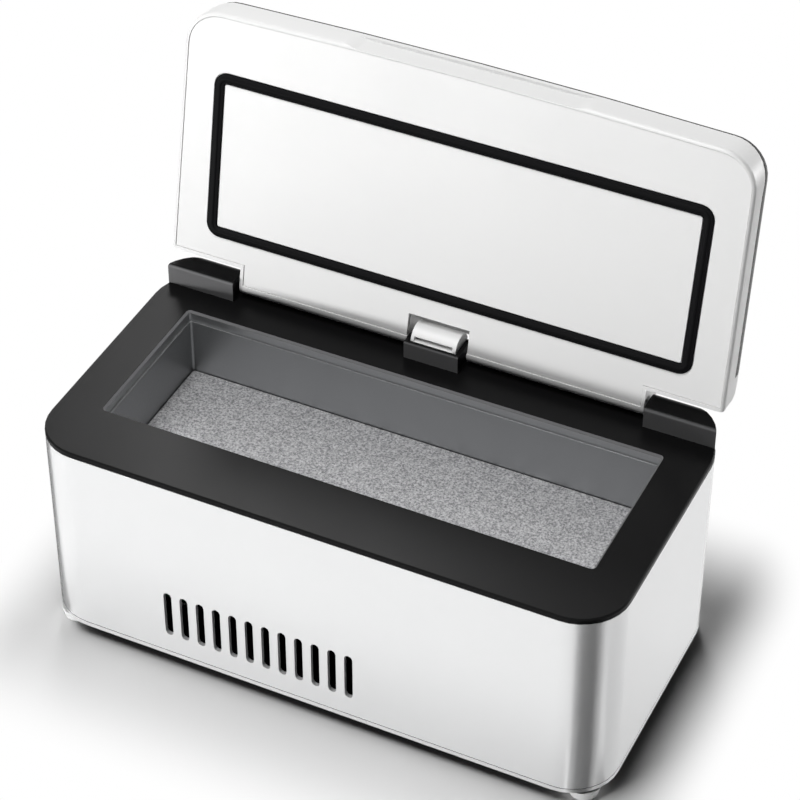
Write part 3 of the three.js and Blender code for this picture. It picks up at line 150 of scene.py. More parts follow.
def moulded_plastic(name, light, deep, roughness, depth, grains=2200.0, **shader_values):
    """Moulded plastic: a fine grain, with faint broad patches of tone and gloss."""
    finish, tree, shader = new_finish(name, shader_values)
    grain = place_effect(tree, moulded_grain, {"Grains per metre": grains, "Depth": depth})
    tone = blend_colours(tree, grain.outputs["Patch"], light, deep)
    gloss = spread(tree, grain.outputs["Patch"], roughness - GLOSS_PLAY, roughness + GLOSS_PLAY)
    tree.links.new(tone, shader.inputs["Base Color"])
    tree.links.new(gloss, shader.inputs["Roughness"])
    tree.links.new(grain.outputs["Normal"], shader.inputs["Normal"])
    return finish


def make_edge_shading():
    """Shades faces smoothly and keeps every edge sharper than the given angle."""
    steps = bpy.data.node_groups.new("edge_shading", "GeometryNodeTree")
    steps.interface.new_socket("Geometry", in_out="INPUT", socket_type="NodeSocketGeometry")
    steps.interface.new_socket("Geometry", in_out="OUTPUT", socket_type="NodeSocketGeometry")
    given = steps.nodes.new("NodeGroupInput")
    result = steps.nodes.new("NodeGroupOutput")
    faces = add_node(steps, "GeometryNodeSetShadeSmooth", domain="FACE")
    edges = add_node(steps, "GeometryNodeSetShadeSmooth", {"Shade Smooth": False}, domain="EDGE")
    angle = add_node(steps, "GeometryNodeInputMeshEdgeAngle")
    sharp = add_node(steps, "FunctionNodeCompare", {"B": SHARP_ANGLE}, operation="GREATER_THAN")
    link = steps.links.new
    link(given.outputs["Geometry"], faces.inputs["Geometry"])
    link(faces.outputs["Geometry"], edges.inputs["Geometry"])
    link(angle.outputs["Unsigned Angle"], sharp.inputs["A"])
    link(sharp.outputs["Result"], edges.inputs["Selection"])
    link(edges.outputs["Geometry"], result.inputs["Geometry"])
    return steps


def ease_edges(name, width, segments=2):
    """Breaks a piece's sharp edges by a small round of the given width and shades its curves smoothly."""
    piece = nodes[name]
    weld = piece.modifiers.new("weld", "WELD")
    weld.merge_threshold = WELD_GAP
    flats = piece.modifiers.new("flats", "DECIMATE")
    flats.decimate_type = "DISSOLVE"
    flats.angle_limit = FLAT_ANGLE
    if width:
        edge_round = piece.modifiers.new("edge_round", "BEVEL")
        edge_round.width = width
        edge_round.segments = segments
        edge_round.limit_method = "ANGLE"
        edge_round.angle_limit = EASED_ANGLE
        edge_round.use_clamp_overlap = True
    shading = piece.modifiers.new("shading", "NODES")
    shading.node_group = edge_shading
    even = piece.modifiers.new("even", "WEIGHTED_NORMAL")
    even.keep_sharp = True


def dress(finish, *names):
    for name in names:
        slots = nodes[name].data.materials
        slots.clear()
        slots.append(finish)


moulded_grain = make_moulded_grain()
edge_shading = make_edge_shading()
white_moulding = moulded_plastic("white_moulding", WHITE_LIGHT, WHITE_DEEP, roughness=0.42, depth=0.000012)
for name in FOOT_NAMES:
    ease_edges(name, width=0.2 * MILLIMETRE)
dress(white_moulding, *FOOT_NAMES)


# Screws
# Plain steel pan-head screws: one up through each foot, and smaller ones for the pieces inside. They are
# turned and plated, with a faint turned sheen.
STEEL_LIGHT = (0.60, 0.61, 0.63, 1)
STEEL_DEEP = (0.46, 0.47, 0.49, 1)
POLISH_PLAY = 0.05
SCREW_NAMES = tuple(name for name in nodes if "screw" in name)


def metal(name, light, deep, roughness, depth, grains, **shader_values):
    """Worked metal: a fine tooth in the surface and broad patches of tone and polish."""
    finish, tree, shader = new_finish(name, {"Metallic": 1.0, **shader_values})
    grain = place_effect(tree, moulded_grain, {"Grains per metre": grains, "Depth": depth})
    tone = blend_colours(tree, grain.outputs["Grain"], light, deep)
    gloss = spread(tree, grain.outputs["Patch"], roughness - POLISH_PLAY, roughness + POLISH_PLAY)
    tree.links.new(tone, shader.inputs["Base Color"])
    tree.links.new(gloss, shader.inputs["Roughness"])
    tree.links.new(grain.outputs["Normal"], shader.inputs["Normal"])
    return finish


plated_steel = metal("plated_steel", STEEL_LIGHT, STEEL_DEEP, roughness=0.3, depth=0.000008, grains=1400.0)
for name in SCREW_NAMES:
    ease_edges(name, width=0.15 * MILLIMETRE)
dress(plated_steel, *SCREW_NAMES)


# Sleeve
# An extruded aluminium tube with upright rounded corners and rows of punched vent slots. It has a pale
# silvery satin coat, which mirrors its surroundings softly.
SLEEVE_LIGHT = (0.90, 0.903, 0.907, 1)
SLEEVE_DEEP = (0.87, 0.873, 0.877, 1)
SLEEVE_METAL = 0.6

sleeve_coat, tree, shader = new_finish("sleeve_coat", {"Metallic": SLEEVE_METAL})
grain = place_effect(tree, moulded_grain, {"Grains per metre": 5000.0, "Depth": 0.000004})
tone = blend_colours(tree, grain.outputs["Patch"], SLEEVE_LIGHT, SLEEVE_DEEP)
tree.links.new(tone, shader.inputs["Base Color"])
tree.links.new(spread(tree, grain.outputs["Grain"], low=0.20, high=0.26), shader.inputs["Roughness"])
tree.links.new(grain.outputs["Normal"], shader.inputs["Normal"])
ease_edges("body_sleeve", width=0.2 * MILLIMETRE)
dress(sleeve_coat, "body_sleeve")


# Base
# A black moulded plate that closes the sleeve from below, with a lip inside the sleeve, standoffs and air
# inlet slots. Its outer edge, a thin band under the sleeve, is coated to match it.
UNDERSIDE_LIGHT = (0.012, 0.012, 0.0125, 1)
UNDERSIDE_DEEP = (0.008, 0.008, 0.0085, 1)
BASE_EDGE_METAL = 0.8

base_moulding, tree, shader = new_finish("base_moulding", {"Specular IOR Level": 0.0})
grain = place_effect(tree, moulded_grain, {"Grains per metre": 2600.0, "Depth": 0.000006})
facing = add_node(tree, "ShaderNodeNewGeometry")
split = add_node(tree, "ShaderNodeSeparateXYZ")
flat = add_node(tree, "ShaderNodeMath", operation="ABSOLUTE")
bare = add_node(tree, "ShaderNodeMapRange", {"From Min": 0.35, "From Max": 0.65})
coated = add_node(tree, "ShaderNodeMath", {0: BASE_EDGE_METAL}, operation="SUBTRACT", use_clamp=True)
edge = blend_colours(tree, grain.outputs["Patch"], SLEEVE_LIGHT, SLEEVE_DEEP)
underside = blend_colours(tree, grain.outputs["Patch"], UNDERSIDE_LIGHT, UNDERSIDE_DEEP)
tone = blend_colours(tree, bare.outputs["Result"], edge, underside)
tree.links.new(facing.outputs["Normal"], split.inputs["Vector"])
tree.links.new(split.outputs["Z"], flat.inputs[0])
tree.links.new(flat.outputs[0], bare.inputs["Value"])
tree.links.new(bare.outputs["Result"], coated.inputs[1])
tree.links.new(tone, shader.inputs["Base Color"])
tree.links.new(coated.outputs[0], shader.inputs["Metallic"])
tree.links.new(spread(tree, grain.outputs["Grain"], low=0.32, high=0.40), shader.inputs["Roughness"])
tree.links.new(grain.outputs["Normal"], shader.inputs["Normal"])
ease_edges("base_plate", width=0.2 * MILLIMETRE)
dress(base_moulding, "base_plate")


# Cooling stack
# A milled aluminium block under the cold plate, the thermoelectric module, and a finned heat sink below it,
# held together by two screws. A steel probe sits in the block.
ALUMINIUM_LIGHT = (0.76, 0.77, 0.78, 1)
ALUMINIUM_DEEP = (0.63, 0.64, 0.655, 1)
CERAMIC_LIGHT = (0.82, 0.82, 0.79, 1)
CERAMIC_DEEP = (0.74, 0.74, 0.71, 1)

milled_aluminium = metal(
    "milled_aluminium", ALUMINIUM_LIGHT, ALUMINIUM_DEEP, roughness=0.38, depth=0.00001, grains=1800.0,
)
fired_ceramic = moulded_plastic(
    "fired_ceramic", CERAMIC_LIGHT, CERAMIC_DEEP, roughness=0.62, depth=0.00003, grains=1500.0,
)
for name in ("cold_block", "heat_sink"):
    ease_edges(name, width=0.2 * MILLIMETRE)
ease_edges("peltier_module", width=0.1 * MILLIMETRE)
ease_edges("temperature_probe", width=0.15 * MILLIMETRE)
dress(milled_aluminium, "cold_block", "heat_sink")
dress(fired_ceramic, "peltier_module")
dress(plated_steel, "temperature_probe")


# Fan
# A black moulded axial fan screwed on under the heat sink: a square frame with struts, and a seven-bladed
# rotor that spins in it.
BLACK_LIGHT = (0.022, 0.022, 0.023, 1)
BLACK_DEEP = (0.014, 0.014, 0.015, 1)

black_moulding = moulded_plastic(
    "black_moulding", BLACK_LIGHT, BLACK_DEEP, roughness=0.48, depth=0.00002, grains=1800.0,
)
ease_edges("fan_frame", width=0.2 * MILLIMETRE)
ease_edges("fan_rotor", width=0.15 * MILLIMETRE)
dress(black_moulding, "fan_frame", "fan_rotor")


# Batteries
# Four round steel cells in a green plastic wrap that leaves their ends bare. They lie side by side in a black
# moulded holder.
CELL_NAMES = ("battery_cell_1", "battery_cell_2", "battery_cell_3", "battery_cell_4")
WRAP_LIGHT = (0.030, 0.215, 0.095, 1)
WRAP_DEEP = (0.022, 0.170, 0.075, 1)

cell_wrap, tree, shader = new_finish("cell_wrap", {"Roughness": 0.3})
grain = place_effect(tree, moulded_grain, {"Grains per metre": 900.0, "Depth": 0.00001})
facing = add_node(tree, "ShaderNodeNewGeometry")
split = add_node(tree, "ShaderNodeSeparateXYZ")
along = add_node(tree, "ShaderNodeMath", operation="ABSOLUTE")
bare_end = add_node(tree, "ShaderNodeMapRange", {"From Min": 0.6, "From Max": 0.8})
wrap = blend_colours(tree, grain.outputs["Patch"], WRAP_LIGHT, WRAP_DEEP)
tone = blend_colours(tree, bare_end.outputs["Result"], wrap, STEEL_LIGHT)
tree.links.new(facing.outputs["Normal"], split.inputs["Vector"])
tree.links.new(split.outputs["X"], along.inputs[0])
tree.links.new(along.outputs[0], bare_end.inputs["Value"])
tree.links.new(tone, shader.inputs["Base Color"])
tree.links.new(bare_end.outputs["Result"], shader.inputs["Metallic"])
tree.links.new(grain.outputs["Normal"], shader.inputs["Normal"])
for name in CELL_NAMES:
    ease_edges(name, width=0.3 * MILLIMETRE)
ease_edges("battery_holder", width=0.2 * MILLIMETRE)
dress(cell_wrap, *CELL_NAMES)
dress(black_moulding, "battery_holder")


# Circuit boards and power inlet
# Glass-fibre boards with a green lacquer, the large one on standoffs in the base and the small one in the
# lid, and a black moulded power inlet at the rear.
LACQUER_LIGHT = (0.020, 0.115, 0.050, 1)
LACQUER_DEEP = (0.010, 0.070, 0.030, 1)

board_lacquer, tree, shader = new_finish("board_lacquer", {"Roughness": 0.35})
place = add_node(tree, "ShaderNodeTexCoord")
tracks = add_node(tree, "ShaderNodeTexBrick", {
    "Scale": 260.0, "Mortar Size": 0.035,
    "Color1": LACQUER_LIGHT, "Color2": LACQUER_LIGHT, "Mortar": LACQUER_DEEP,
})
bump = add_node(tree, "ShaderNodeBump", {"Distance": 0.00003})
tree.links.new(place.outputs["Object"], tracks.inputs["Vector"])
tree.links.new(tracks.outputs["Color"], shader.inputs["Base Color"])
tree.links.new(tracks.outputs["Fac"], bump.inputs["Height"])
tree.links.new(bump.outputs["Normal"], shader.inputs["Normal"])
ease_edges("control_board", width=0)
ease_edges("lid_board", width=0)
ease_edges("dc_jack", width=0.2 * MILLIMETRE)
dress(board_lacquer, "control_board", "lid_board")
dress(black_moulding, "dc_jack")


# Insulation
# Closed-cell foam, moulded round the tray and cut to fill the lid. It is hidden inside both, and holds the
# cold in.
FOAM_LIGHT = (0.72, 0.70, 0.63, 1)
FOAM_DEEP = (0.58, 0.56, 0.50, 1)

closed_cell_foam, tree, shader = new_finish("closed_cell_foam", {"Roughness": 0.95})
place = add_node(tree, "ShaderNodeTexCoord")
cells = add_node(tree, "ShaderNodeTexVoronoi", {"Scale": 900.0})
bump = add_node(tree, "ShaderNodeBump", {"Distance": 0.0003})
tree.links.new(place.outputs["Object"], cells.inputs["Vector"])
tree.links.new(cells.outputs["Distance"], bump.inputs["Height"])
tone = blend_colours(tree, cells.outputs["Distance"], FOAM_DEEP, FOAM_LIGHT)
tree.links.new(tone, shader.inputs["Base Color"])
tree.links.new(bump.outputs["Normal"], shader.inputs["Normal"])
ease_edges("tray_foam", width=0)
ease_edges("lid_foam", width=0)
dress(closed_cell_foam, "tray_foam", "lid_foam")


# Tray
# The cold compartment's drawn aluminium walls, with a grey anodised satin skin. Its flange is screwed up
# under the bezel's collar.
ANODISED_LIGHT = (0.30, 0.305, 0.31, 1)
ANODISED_DEEP = (0.22, 0.225, 0.23, 1)
ANODISED_METAL = 0.85

anodised_skin, tree, shader = new_finish("anodised_skin", {"Metallic": ANODISED_METAL})
grain = place_effect(tree, moulded_grain, {"Grains per metre": 3000.0, "Depth": 0.000008})
tone = blend_colours(tree, grain.outputs["Grain"], ANODISED_LIGHT, ANODISED_DEEP)
tree.links.new(tone, shader.inputs["Base Color"])
tree.links.new(spread(tree, grain.outputs["Patch"], low=0.33, high=0.43), shader.inputs["Roughness"])
tree.links.new(grain.outputs["Normal"], shader.inputs["Normal"])
ease_edges("cooling_tray", width=0.15 * MILLIMETRE)
dress(anodised_skin, "cooling_tray")


# Cold plate
# The compartment's floor: a bead-blasted aluminium plate that lies on the tray's ledge, over the cooling
# stack. It is grainy and silvery.
BLASTED_LIGHT = (0.66, 0.66, 0.67, 1)
BLASTED_DEEP = (0.20, 0.20, 0.21, 1)

blasted_plate, tree, shader = new_finish("blasted_plate", {"Metallic": 0.75, "Roughness": 0.55})
place = add_node(tree, "ShaderNodeTexCoord")
pits = add_node(tree, "ShaderNodeTexNoise", {"Scale": 1300.0, "Detail": 4.0, "Roughness": 0.7})
bump = add_node(tree, "ShaderNodeBump", {"Distance": 0.00012})
sparkle = add_node(tree, "ShaderNodeMapRange", {"From Min": 0.36, "From Max": 0.64})
tree.links.new(place.outputs["Object"], pits.inputs["Vector"])
tree.links.new(pits.outputs["Fac"], sparkle.inputs["Value"])
tree.links.new(pits.outputs["Fac"], bump.inputs["Height"])
tone = blend_colours(tree, sparkle.outputs["Result"], BLASTED_DEEP, BLASTED_LIGHT)
tree.links.new(tone, shader.inputs["Base Color"])
tree.links.new(bump.outputs["Normal"], shader.inputs["Normal"])
ease_edges("cold_plate", width=0.2 * MILLIMETRE)
dress(blasted_plate, "cold_plate")


# Bezel
# The black moulded top frame with its two hinge bosses and centre block, pressed into the sleeve. The front
# faces of the blocks carry a painted sheen and the chamfer round the mouth a painted highlight, both a
# lighter grey, and the mouth's wall has the tray's skin.
BEZEL_LIGHT = (0.006, 0.006, 0.0063, 1)
BEZEL_DEEP = (0.0048, 0.0048, 0.005, 1)
BEZEL_GLOSS = 0.07
# Painted sheen: the lighter grey put on the raised blocks' front faces.
PAINTED_SHEEN_GREY = (0.16, 0.16, 0.163, 1)
BLOCK_H = 8.6 * MILLIMETRE
BLOCK_FOOT = 0.2 * MILLIMETRE
# Painted highlight: the lighter grey put on the chamfer round the mouth.
CHAMFER_PAINTED_HIGHLIGHT = (0.20, 0.20, 0.205, 1)
CHAMFER_H = 0.8 * MILLIMETRE
CHAMFER_RISE = 0.7
WALL_RISE = 0.0
RISE_PLAY = 0.2
MOUTH_PLAY = Vector((1, 1, 0)) * MILLIMETRE

plate_low, plate_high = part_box("cold_plate")
mouth_middle = (plate_low + plate_high) / 2
mouth_half = (plate_high - plate_low) / 2 + MOUTH_PLAY
mouth_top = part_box("top_bezel")[1].z - BLOCK_H

bezel_moulding, tree, shader = new_finish("bezel_moulding", {"Specular IOR Level": BEZEL_GLOSS})
grain = place_effect(tree, moulded_grain, {"Grains per metre": 2600.0, "Depth": 0.000014})
place = add_node(tree, "ShaderNodeTexCoord")
facing = add_node(tree, "ShaderNodeNewGeometry")
split_place = add_node(tree, "ShaderNodeSeparateXYZ")
split_facing = add_node(tree, "ShaderNodeSeparateXYZ")
tree.links.new(place.outputs["Object"], split_place.inputs["Vector"])
tree.links.new(facing.outputs["Normal"], split_facing.inputs["Vector"])
inside = add_node(tree, "ShaderNodeMath", operation="MULTIPLY")
for axis, letter in enumerate("XY"):
    reach = mouth_half[axis] + CHAMFER_H
    near = add_node(tree, "ShaderNodeMath", {1: mouth_middle[axis], 2: reach}, operation="COMPARE")
    tree.links.new(split_place.outputs[letter], near.inputs[0])
    tree.links.new(near.outputs[0], inside.inputs[axis])
masks = []
for rise in (CHAMFER_RISE, WALL_RISE):
    slope = add_node(tree, "ShaderNodeMath", {1: rise, 2: RISE_PLAY}, operation="COMPARE")
    both = add_node(tree, "ShaderNodeMath", operation="MULTIPLY")
    tree.links.new(split_facing.outputs["Z"], slope.inputs[0])
    tree.links.new(slope.outputs[0], both.inputs[0])
    tree.links.new(inside.outputs[0], both.inputs[1])
    masks.append(both.outputs[0])
chamfer, wall = masks
dark = blend_colours(tree, grain.outputs["Patch"], BEZEL_LIGHT, BEZEL_DEEP)
# Painted highlight: the chamfer round the mouth is turned to the lighter grey.
edge = blend_colours(tree, chamfer, dark, CHAMFER_PAINTED_HIGHLIGHT)
lined = blend_colours(tree, wall, edge, ANODISED_LIGHT)
# Painted sheen: the raised blocks' front faces are turned to the lighter grey.
raised = add_node(tree, "ShaderNodeMath", {1: mouth_top + BLOCK_FOOT}, operation="GREATER_THAN")
forward = add_node(tree, "ShaderNodeMapRange", {"From Min": -0.5, "From Max": -0.9})
painted_sheen = add_node(tree, "ShaderNodeMath", operation="MULTIPLY")
tone = blend_colours(tree, painted_sheen.outputs[0], lined, PAINTED_SHEEN_GREY)
sheen = add_node(tree, "ShaderNodeMath", {1: ANODISED_METAL}, operation="MULTIPLY")
tree.links.new(split_place.outputs["Z"], raised.inputs[0])
tree.links.new(split_facing.outputs["Y"], forward.inputs["Value"])
tree.links.new(raised.outputs[0], painted_sheen.inputs[0])
tree.links.new(forward.outputs["Result"], painted_sheen.inputs[1])
tree.links.new(wall, sheen.inputs[0])
tree.links.new(sheen.outputs[0], shader.inputs["Metallic"])
tree.links.new(tone, shader.inputs["Base Color"])
tree.links.new(spread(tree, grain.outputs["Patch"], low=0.28, high=0.32), shader.inputs["Roughness"])
tree.links.new(grain.outputs["Normal"], shader.inputs["Normal"])
ease_edges("top_bezel", width=0.25 * MILLIMETRE)
dress(bezel_moulding, "top_bezel")


# Barrel and hinge pins
# The white half-round cover of the cable way in the hinge line, moulded with a long slot and clipped into the
# bezel's centre block, and the two plain steel pins that the lid turns on.
ease_edges("cable_barrel", width=0.25 * MILLIMETRE)
ease_edges("hinge_pin_left", width=0.15 * MILLIMETRE)
ease_edges("hinge_pin_right", width=0.15 * MILLIMETRE)
dress(white_moulding, "cable_barrel")
dress(plated_steel, "hinge_pin_left", "hinge_pin_right")


# Lid shell and liner
# The lid's outer moulding and the liner let into its underside, both of white plastic. A fine gap runs round
# the liner.
ease_edges("lid_shell", width=0.3 * MILLIMETRE)
ease_edges("lid_liner", width=0.15 * MILLIMETRE)
dress(white_moulding, "lid_shell", "lid_liner")


# Gasket
# An extruded silicone frame pressed into the liner's groove, with a round bead that meets the bezel. It is
# drawn with the lid shut and then turned open about the hinge.
GASKET_HALF_L = 94.9 * MILLIMETRE
GASKET_HALF_W = 32.4 * MILLIMETRE
GASKET_CORNER = 5.0 * MILLIMETRE
GASKET_MIDDLE_Y = 1.0 * MILLIMETRE
GASKET_ROOT_Z = 90.4 * MILLIMETRE
CORNER_STEPS = 10
GASKET_SECTION = (
    (0.0, 0.0), (0.0, 0.6), (0.06, 0.74), (0.2, 0.8), (1.0, 0.8), (1.12, 0.85), (1.24, 0.98), (1.45, 1.09),
    (1.7, 1.14), (1.9, 1.15), (2.1, 1.14), (2.35, 1.09), (2.56, 0.98), (2.68, 0.85), (2.8, 0.8), (3.6, 0.8),
    (3.74, 0.74), (3.8, 0.6), (3.8, 0.0),
)
LID_OPEN_ANGLE = math.radians(101)
HINGE_SETBACK = 51 * MILLIMETRE
RUBBER_LIGHT = (0.006, 0.006, 0.0065, 1)
RUBBER_DEEP = (0.004, 0.004, 0.0045, 1)

hinge = next(joint for joint in frame["joints"] if joint["name"] == "lid_hinge")
hinge_point = Vector(hinge["pos_m"])
case_middle_y = hinge_point.y - HINGE_SETBACK
lid_turn = Matrix.Rotation(-LID_OPEN_ANGLE, 4, "X")
lid_open = Matrix.Translation(hinge_point) @ lid_turn @ Matrix.Translation(-hinge_point)


def gasket_stations():
    """Points round the gasket's outer outline, each with its outward direction."""
    stations = []
    for quarter in range(4):
        start = quarter * math.pi / 2
        sx, sy = ((1, 1), (-1, 1), (-1, -1), (1, -1))[quarter]
        middle = Vector((
            sx * (GASKET_HALF_L - GASKET_CORNER),
            case_middle_y + GASKET_MIDDLE_Y + sy * (GASKET_HALF_W - GASKET_CORNER),
            0,
        ))
        for step in range(CORNER_STEPS + 1):
            turn = start + step / CORNER_STEPS * math.pi / 2
            outward = Vector((math.cos(turn), math.sin(turn), 0))
            stations.append((middle + GASKET_CORNER * outward, outward))
    return stations


def make_gasket():
    bm = bmesh.new()
    rings = []
    for point, outward in gasket_stations():
        ring = []
        for across, down in GASKET_SECTION:
            place = point - outward * across * MILLIMETRE
            place.z = GASKET_ROOT_Z - down * MILLIMETRE
            ring.append(bm.verts.new(lid_open @ place))
        rings.append(ring)
    count = len(GASKET_SECTION)
    for ring, after in zip(rings, rings[1:] + rings[:1]):
        for i in range(count):
            j = (i + 1) % count
            face = bm.faces.new((ring[i], ring[j], after[j], after[i]))
            face.smooth = True
    bmesh.ops.recalc_face_normals(bm, faces=bm.faces)
    mesh = bpy.data.meshes.new("gasket_frame")
    bm.to_mesh(mesh)
    bm.free()
    made = bpy.data.objects.new("gasket_frame", mesh)
    bpy.context.scene.collection.objects.link(made)
    return made


silicone = moulded_plastic(
    "silicone", RUBBER_LIGHT, RUBBER_DEEP, roughness=0.55, depth=0.00001, grains=1600.0,
    **{"Specular IOR Level": 0.04},
)
gasket = make_gasket()
gasket.data.materials.append(silicone)
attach(gasket, "lid")
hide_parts("lid_gasket")
dress(silicone, "lid_gasket")


# Top panel, window and display
# A black moulded panel wraps the lid's crown with a thin skirt. Its outer face is lacquered and its skirt is
# left matt. A tinted window in it covers a dark display.
PANEL_LIGHT = (0.0045, 0.0045, 0.005, 1)
PANEL_DEEP = (0.003, 0.003, 0.0035, 1)
PANEL_LACQUER = 0.32
WINDOW_TINT = (0.32, 0.34, 0.36, 1)
DISPLAY_LIGHT = (0.020, 0.023, 0.024, 1)
DISPLAY_DEEP = (0.013, 0.015, 0.016, 1)

panel_lacquer = moulded_plastic(
    "panel_lacquer", PANEL_LIGHT, PANEL_DEEP, roughness=0.22, depth=0.000001, grains=300.0,
    **{"Specular IOR Level": 0.02, "Coat Roughness": 0.2},
)
tree = panel_lacquer.node_tree
shader = next(n for n in tree.nodes if n.type == "BSDF_PRINCIPLED")
place = add_node(tree, "ShaderNodeTexCoord")
outward = add_node(tree, "ShaderNodeVectorMath", operation="DOT_PRODUCT")
outward.inputs[1].default_value = lid_turn.to_3x3() @ Vector((0, 0, 1))
coat = add_node(tree, "ShaderNodeMapRange", {"From Min": 0.9, "From Max": 0.98, "To Max": PANEL_LACQUER})
tree.links.new(place.outputs["Normal"], outward.inputs[0])
tree.links.new(outward.outputs["Value"], coat.inputs["Value"])
tree.links.new(coat.outputs["Result"], shader.inputs["Coat Weight"])
display_face = moulded_plastic(
    "display_face", DISPLAY_LIGHT, DISPLAY_DEEP, roughness=0.3, depth=0.0000002, grains=900.0,
)
tinted_window, tree, shader = new_finish(
    "tinted_window", {"Base Color": WINDOW_TINT, "Transmission Weight": 0.9, "IOR": 1.49},
)
grain = place_effect(tree, moulded_grain, {"Grains per metre": 400.0, "Depth": 0.0000004})
tree.links.new(spread(tree, grain.outputs["Patch"], low=0.02, high=0.05), shader.inputs["Roughness"])
ease_edges("lid_top_panel", width=0.2 * MILLIMETRE)
ease_edges("display_window", width=0.1 * MILLIMETRE)
ease_edges("display_module", width=0.2 * MILLIMETRE)
dress(panel_lacquer, "lid_top_panel")
dress(tinted_window, "display_window")
dress(display_face, "display_module")


# Buttons and switches
# Three round dark grey moulded keys, each guided in a hole of the panel and just proud of it. Each one rests
# on a black switch on the lid's board.
BUTTON_LIGHT = (0.060, 0.060, 0.062, 1)
BUTTON_DEEP = (0.046, 0.046, 0.048, 1)
BUTTON_NAMES = ("button_left", "button_centre", "button_right")
SWITCH_NAMES = ("tact_switch_left", "tact_switch_centre", "tact_switch_right")

key_cap = moulded_plastic("key_cap", BUTTON_LIGHT, BUTTON_DEEP, roughness=0.42, depth=0.000012)
for name in BUTTON_NAMES + SWITCH_NAMES:
    ease_edges(name, width=0.15 * MILLIMETRE)
dress(key_cap, *BUTTON_NAMES)
dress(black_moulding, *SWITCH_NAMES)


# Studio
# A grey-white table that runs out into a white surround, a soft light overhead, low strip lights in front and
# at the right, and a light behind that gives the bezel its sheen. Glowing cards on the table, seen only in
# reflections, paint a dark reflected stripe on the sleeve's front right corner, a dark reflection on its left
# edge and a graded bright reflection on its right face. The camera stands at the front right.
FLOOR_SIZE = 6.0
TABLE_GREY = (0.74, 0.74, 0.74, 1)
FOOTPRINT = (0.11, 0.055, 0)
FLOOR_FAR = 0.054
FLOOR_STRETCH = (1.75, 1, 1)
LIGHTS = (
    ("key_light", (-0.14, -0.27, 1.10), (0.28, 0.60), 8.0),
    ("front_light", (-0.65, -0.92, 0.012), (0.60, 0.02), 8.0),
    ("side_light", (1.00, 1.10, 0.03), (0.60, 0.04), 9.0),
    ("back_light", (-0.58, 0.97, 1.12), (0.30, 0.30), 5.2),
)
LIGHT_AIM = Vector((0, 0, 0.08))
CARD_Z = 0.0002
LEFT_CARD = ((-0.108, -0.056, 0), (-0.22, -0.025, 0), (-0.112, 0.06, 0), (-0.20, 0.10, 0))
SIDE_CARD = (
    (0.111, -0.043, 0.70), (0.26, -0.043, 1),
    (0.111, 0.04, 0.95), (0.26, 0.06, 1),
    (0.111, 0.16, 1), (0.26, 0.22, 1),
)
SLEEVE_CORNER = Vector((0.11, -0.055))
SLEEVE_CORNER_R = 0.018
STRIPE_TURN = -19.5
STRIPE_Z = 0.0003
STRIPE_LENGTH = 0.14
STRIPE_SHADES = ((15, 1.0), (20, 0.28), (26, 0.02), (39, 0.0), (45, 0.4), (51, 1.0))


def seen_directly(tree):
    """One where the eye, a mirror or glass meets the surface, and nought where light only bounces off it."""
    path = add_node(tree, "ShaderNodeLightPath")
    total = path.outputs["Is Camera Ray"]
    for name in ("Is Glossy Ray", "Is Transmission Ray"):
        larger = add_node(tree, "ShaderNodeMath", operation="MAXIMUM")
        tree.links.new(total, larger.inputs[0])
        tree.links.new(path.outputs[name], larger.inputs[1])
        total = larger.outputs[0]
    looked_at = add_node(tree, "ShaderNodeMath", {1: 0.5}, operation="LESS_THAN")
    both = add_node(tree, "ShaderNodeMath", operation="MULTIPLY")
    tree.links.new(path.outputs["Diffuse Depth"], looked_at.inputs[0])
    tree.links.new(looked_at.outputs[0], both.inputs[0])
    tree.links.new(total, both.inputs[1])
    return both.outputs[0]


floor_mesh = bpy.data.meshes.new("floor")
half = FLOOR_SIZE / 2
floor_corners = [(-half, -half, 0), (half, -half, 0), (half, half, 0), (-half, half, 0)]
floor_mesh.from_pydata(floor_corners, [], [(0, 1, 2, 3)])
floor = bpy.data.objects.new("floor", floor_mesh)
bpy.context.scene.collection.objects.link(floor)

table_white = bpy.data.materials.new("table_white")
table_white.use_nodes = True
tree = table_white.node_tree
tree.nodes.clear()
surface = add_node(tree, "ShaderNodeOutputMaterial")
lit = add_node(tree, "ShaderNodeBsdfDiffuse", {"Color": TABLE_GREY})
plain = add_node(tree, "ShaderNodeEmission", {"Color": (1, 1, 1, 1), "Strength": 1.0})
mix = add_node(tree, "ShaderNodeMixShader")
place = add_node(tree, "ShaderNodeTexCoord")
shift = add_node(tree, "ShaderNodeVectorMath", operation="SUBTRACT")
shift.inputs[1].default_value = (0, case_middle_y, 0)
fold = add_node(tree, "ShaderNodeVectorMath", operation="ABSOLUTE")
past = add_node(tree, "ShaderNodeVectorMath", operation="SUBTRACT")
past.inputs[1].default_value = FOOTPRINT
stretch = add_node(tree, "ShaderNodeVectorMath", operation="MULTIPLY")
stretch.inputs[1].default_value = FLOOR_STRETCH
outside = add_node(tree, "ShaderNodeVectorMath", operation="MAXIMUM")
reach = add_node(tree, "ShaderNodeVectorMath", operation="LENGTH")
fade = add_node(tree, "ShaderNodeMapRange", {"From Max": FLOOR_FAR}, interpolation_type="SMOOTHSTEP")
share = add_node(tree, "ShaderNodeMath", operation="MULTIPLY")
tree.links.new(place.outputs["Object"], shift.inputs[0])
tree.links.new(shift.outputs["Vector"], fold.inputs[0])
tree.links.new(fold.outputs["Vector"], past.inputs[0])
tree.links.new(past.outputs["Vector"], stretch.inputs[0])
tree.links.new(stretch.outputs["Vector"], outside.inputs[0])
tree.links.new(outside.outputs["Vector"], reach.inputs[0])
tree.links.new(reach.outputs["Value"], fade.inputs["Value"])
tree.links.new(fade.outputs["Result"], share.inputs[0])
tree.links.new(seen_directly(tree), share.inputs[1])
tree.links.new(share.outputs[0], mix.inputs["Fac"])
tree.links.new(lit.outputs[0], mix.inputs[1])
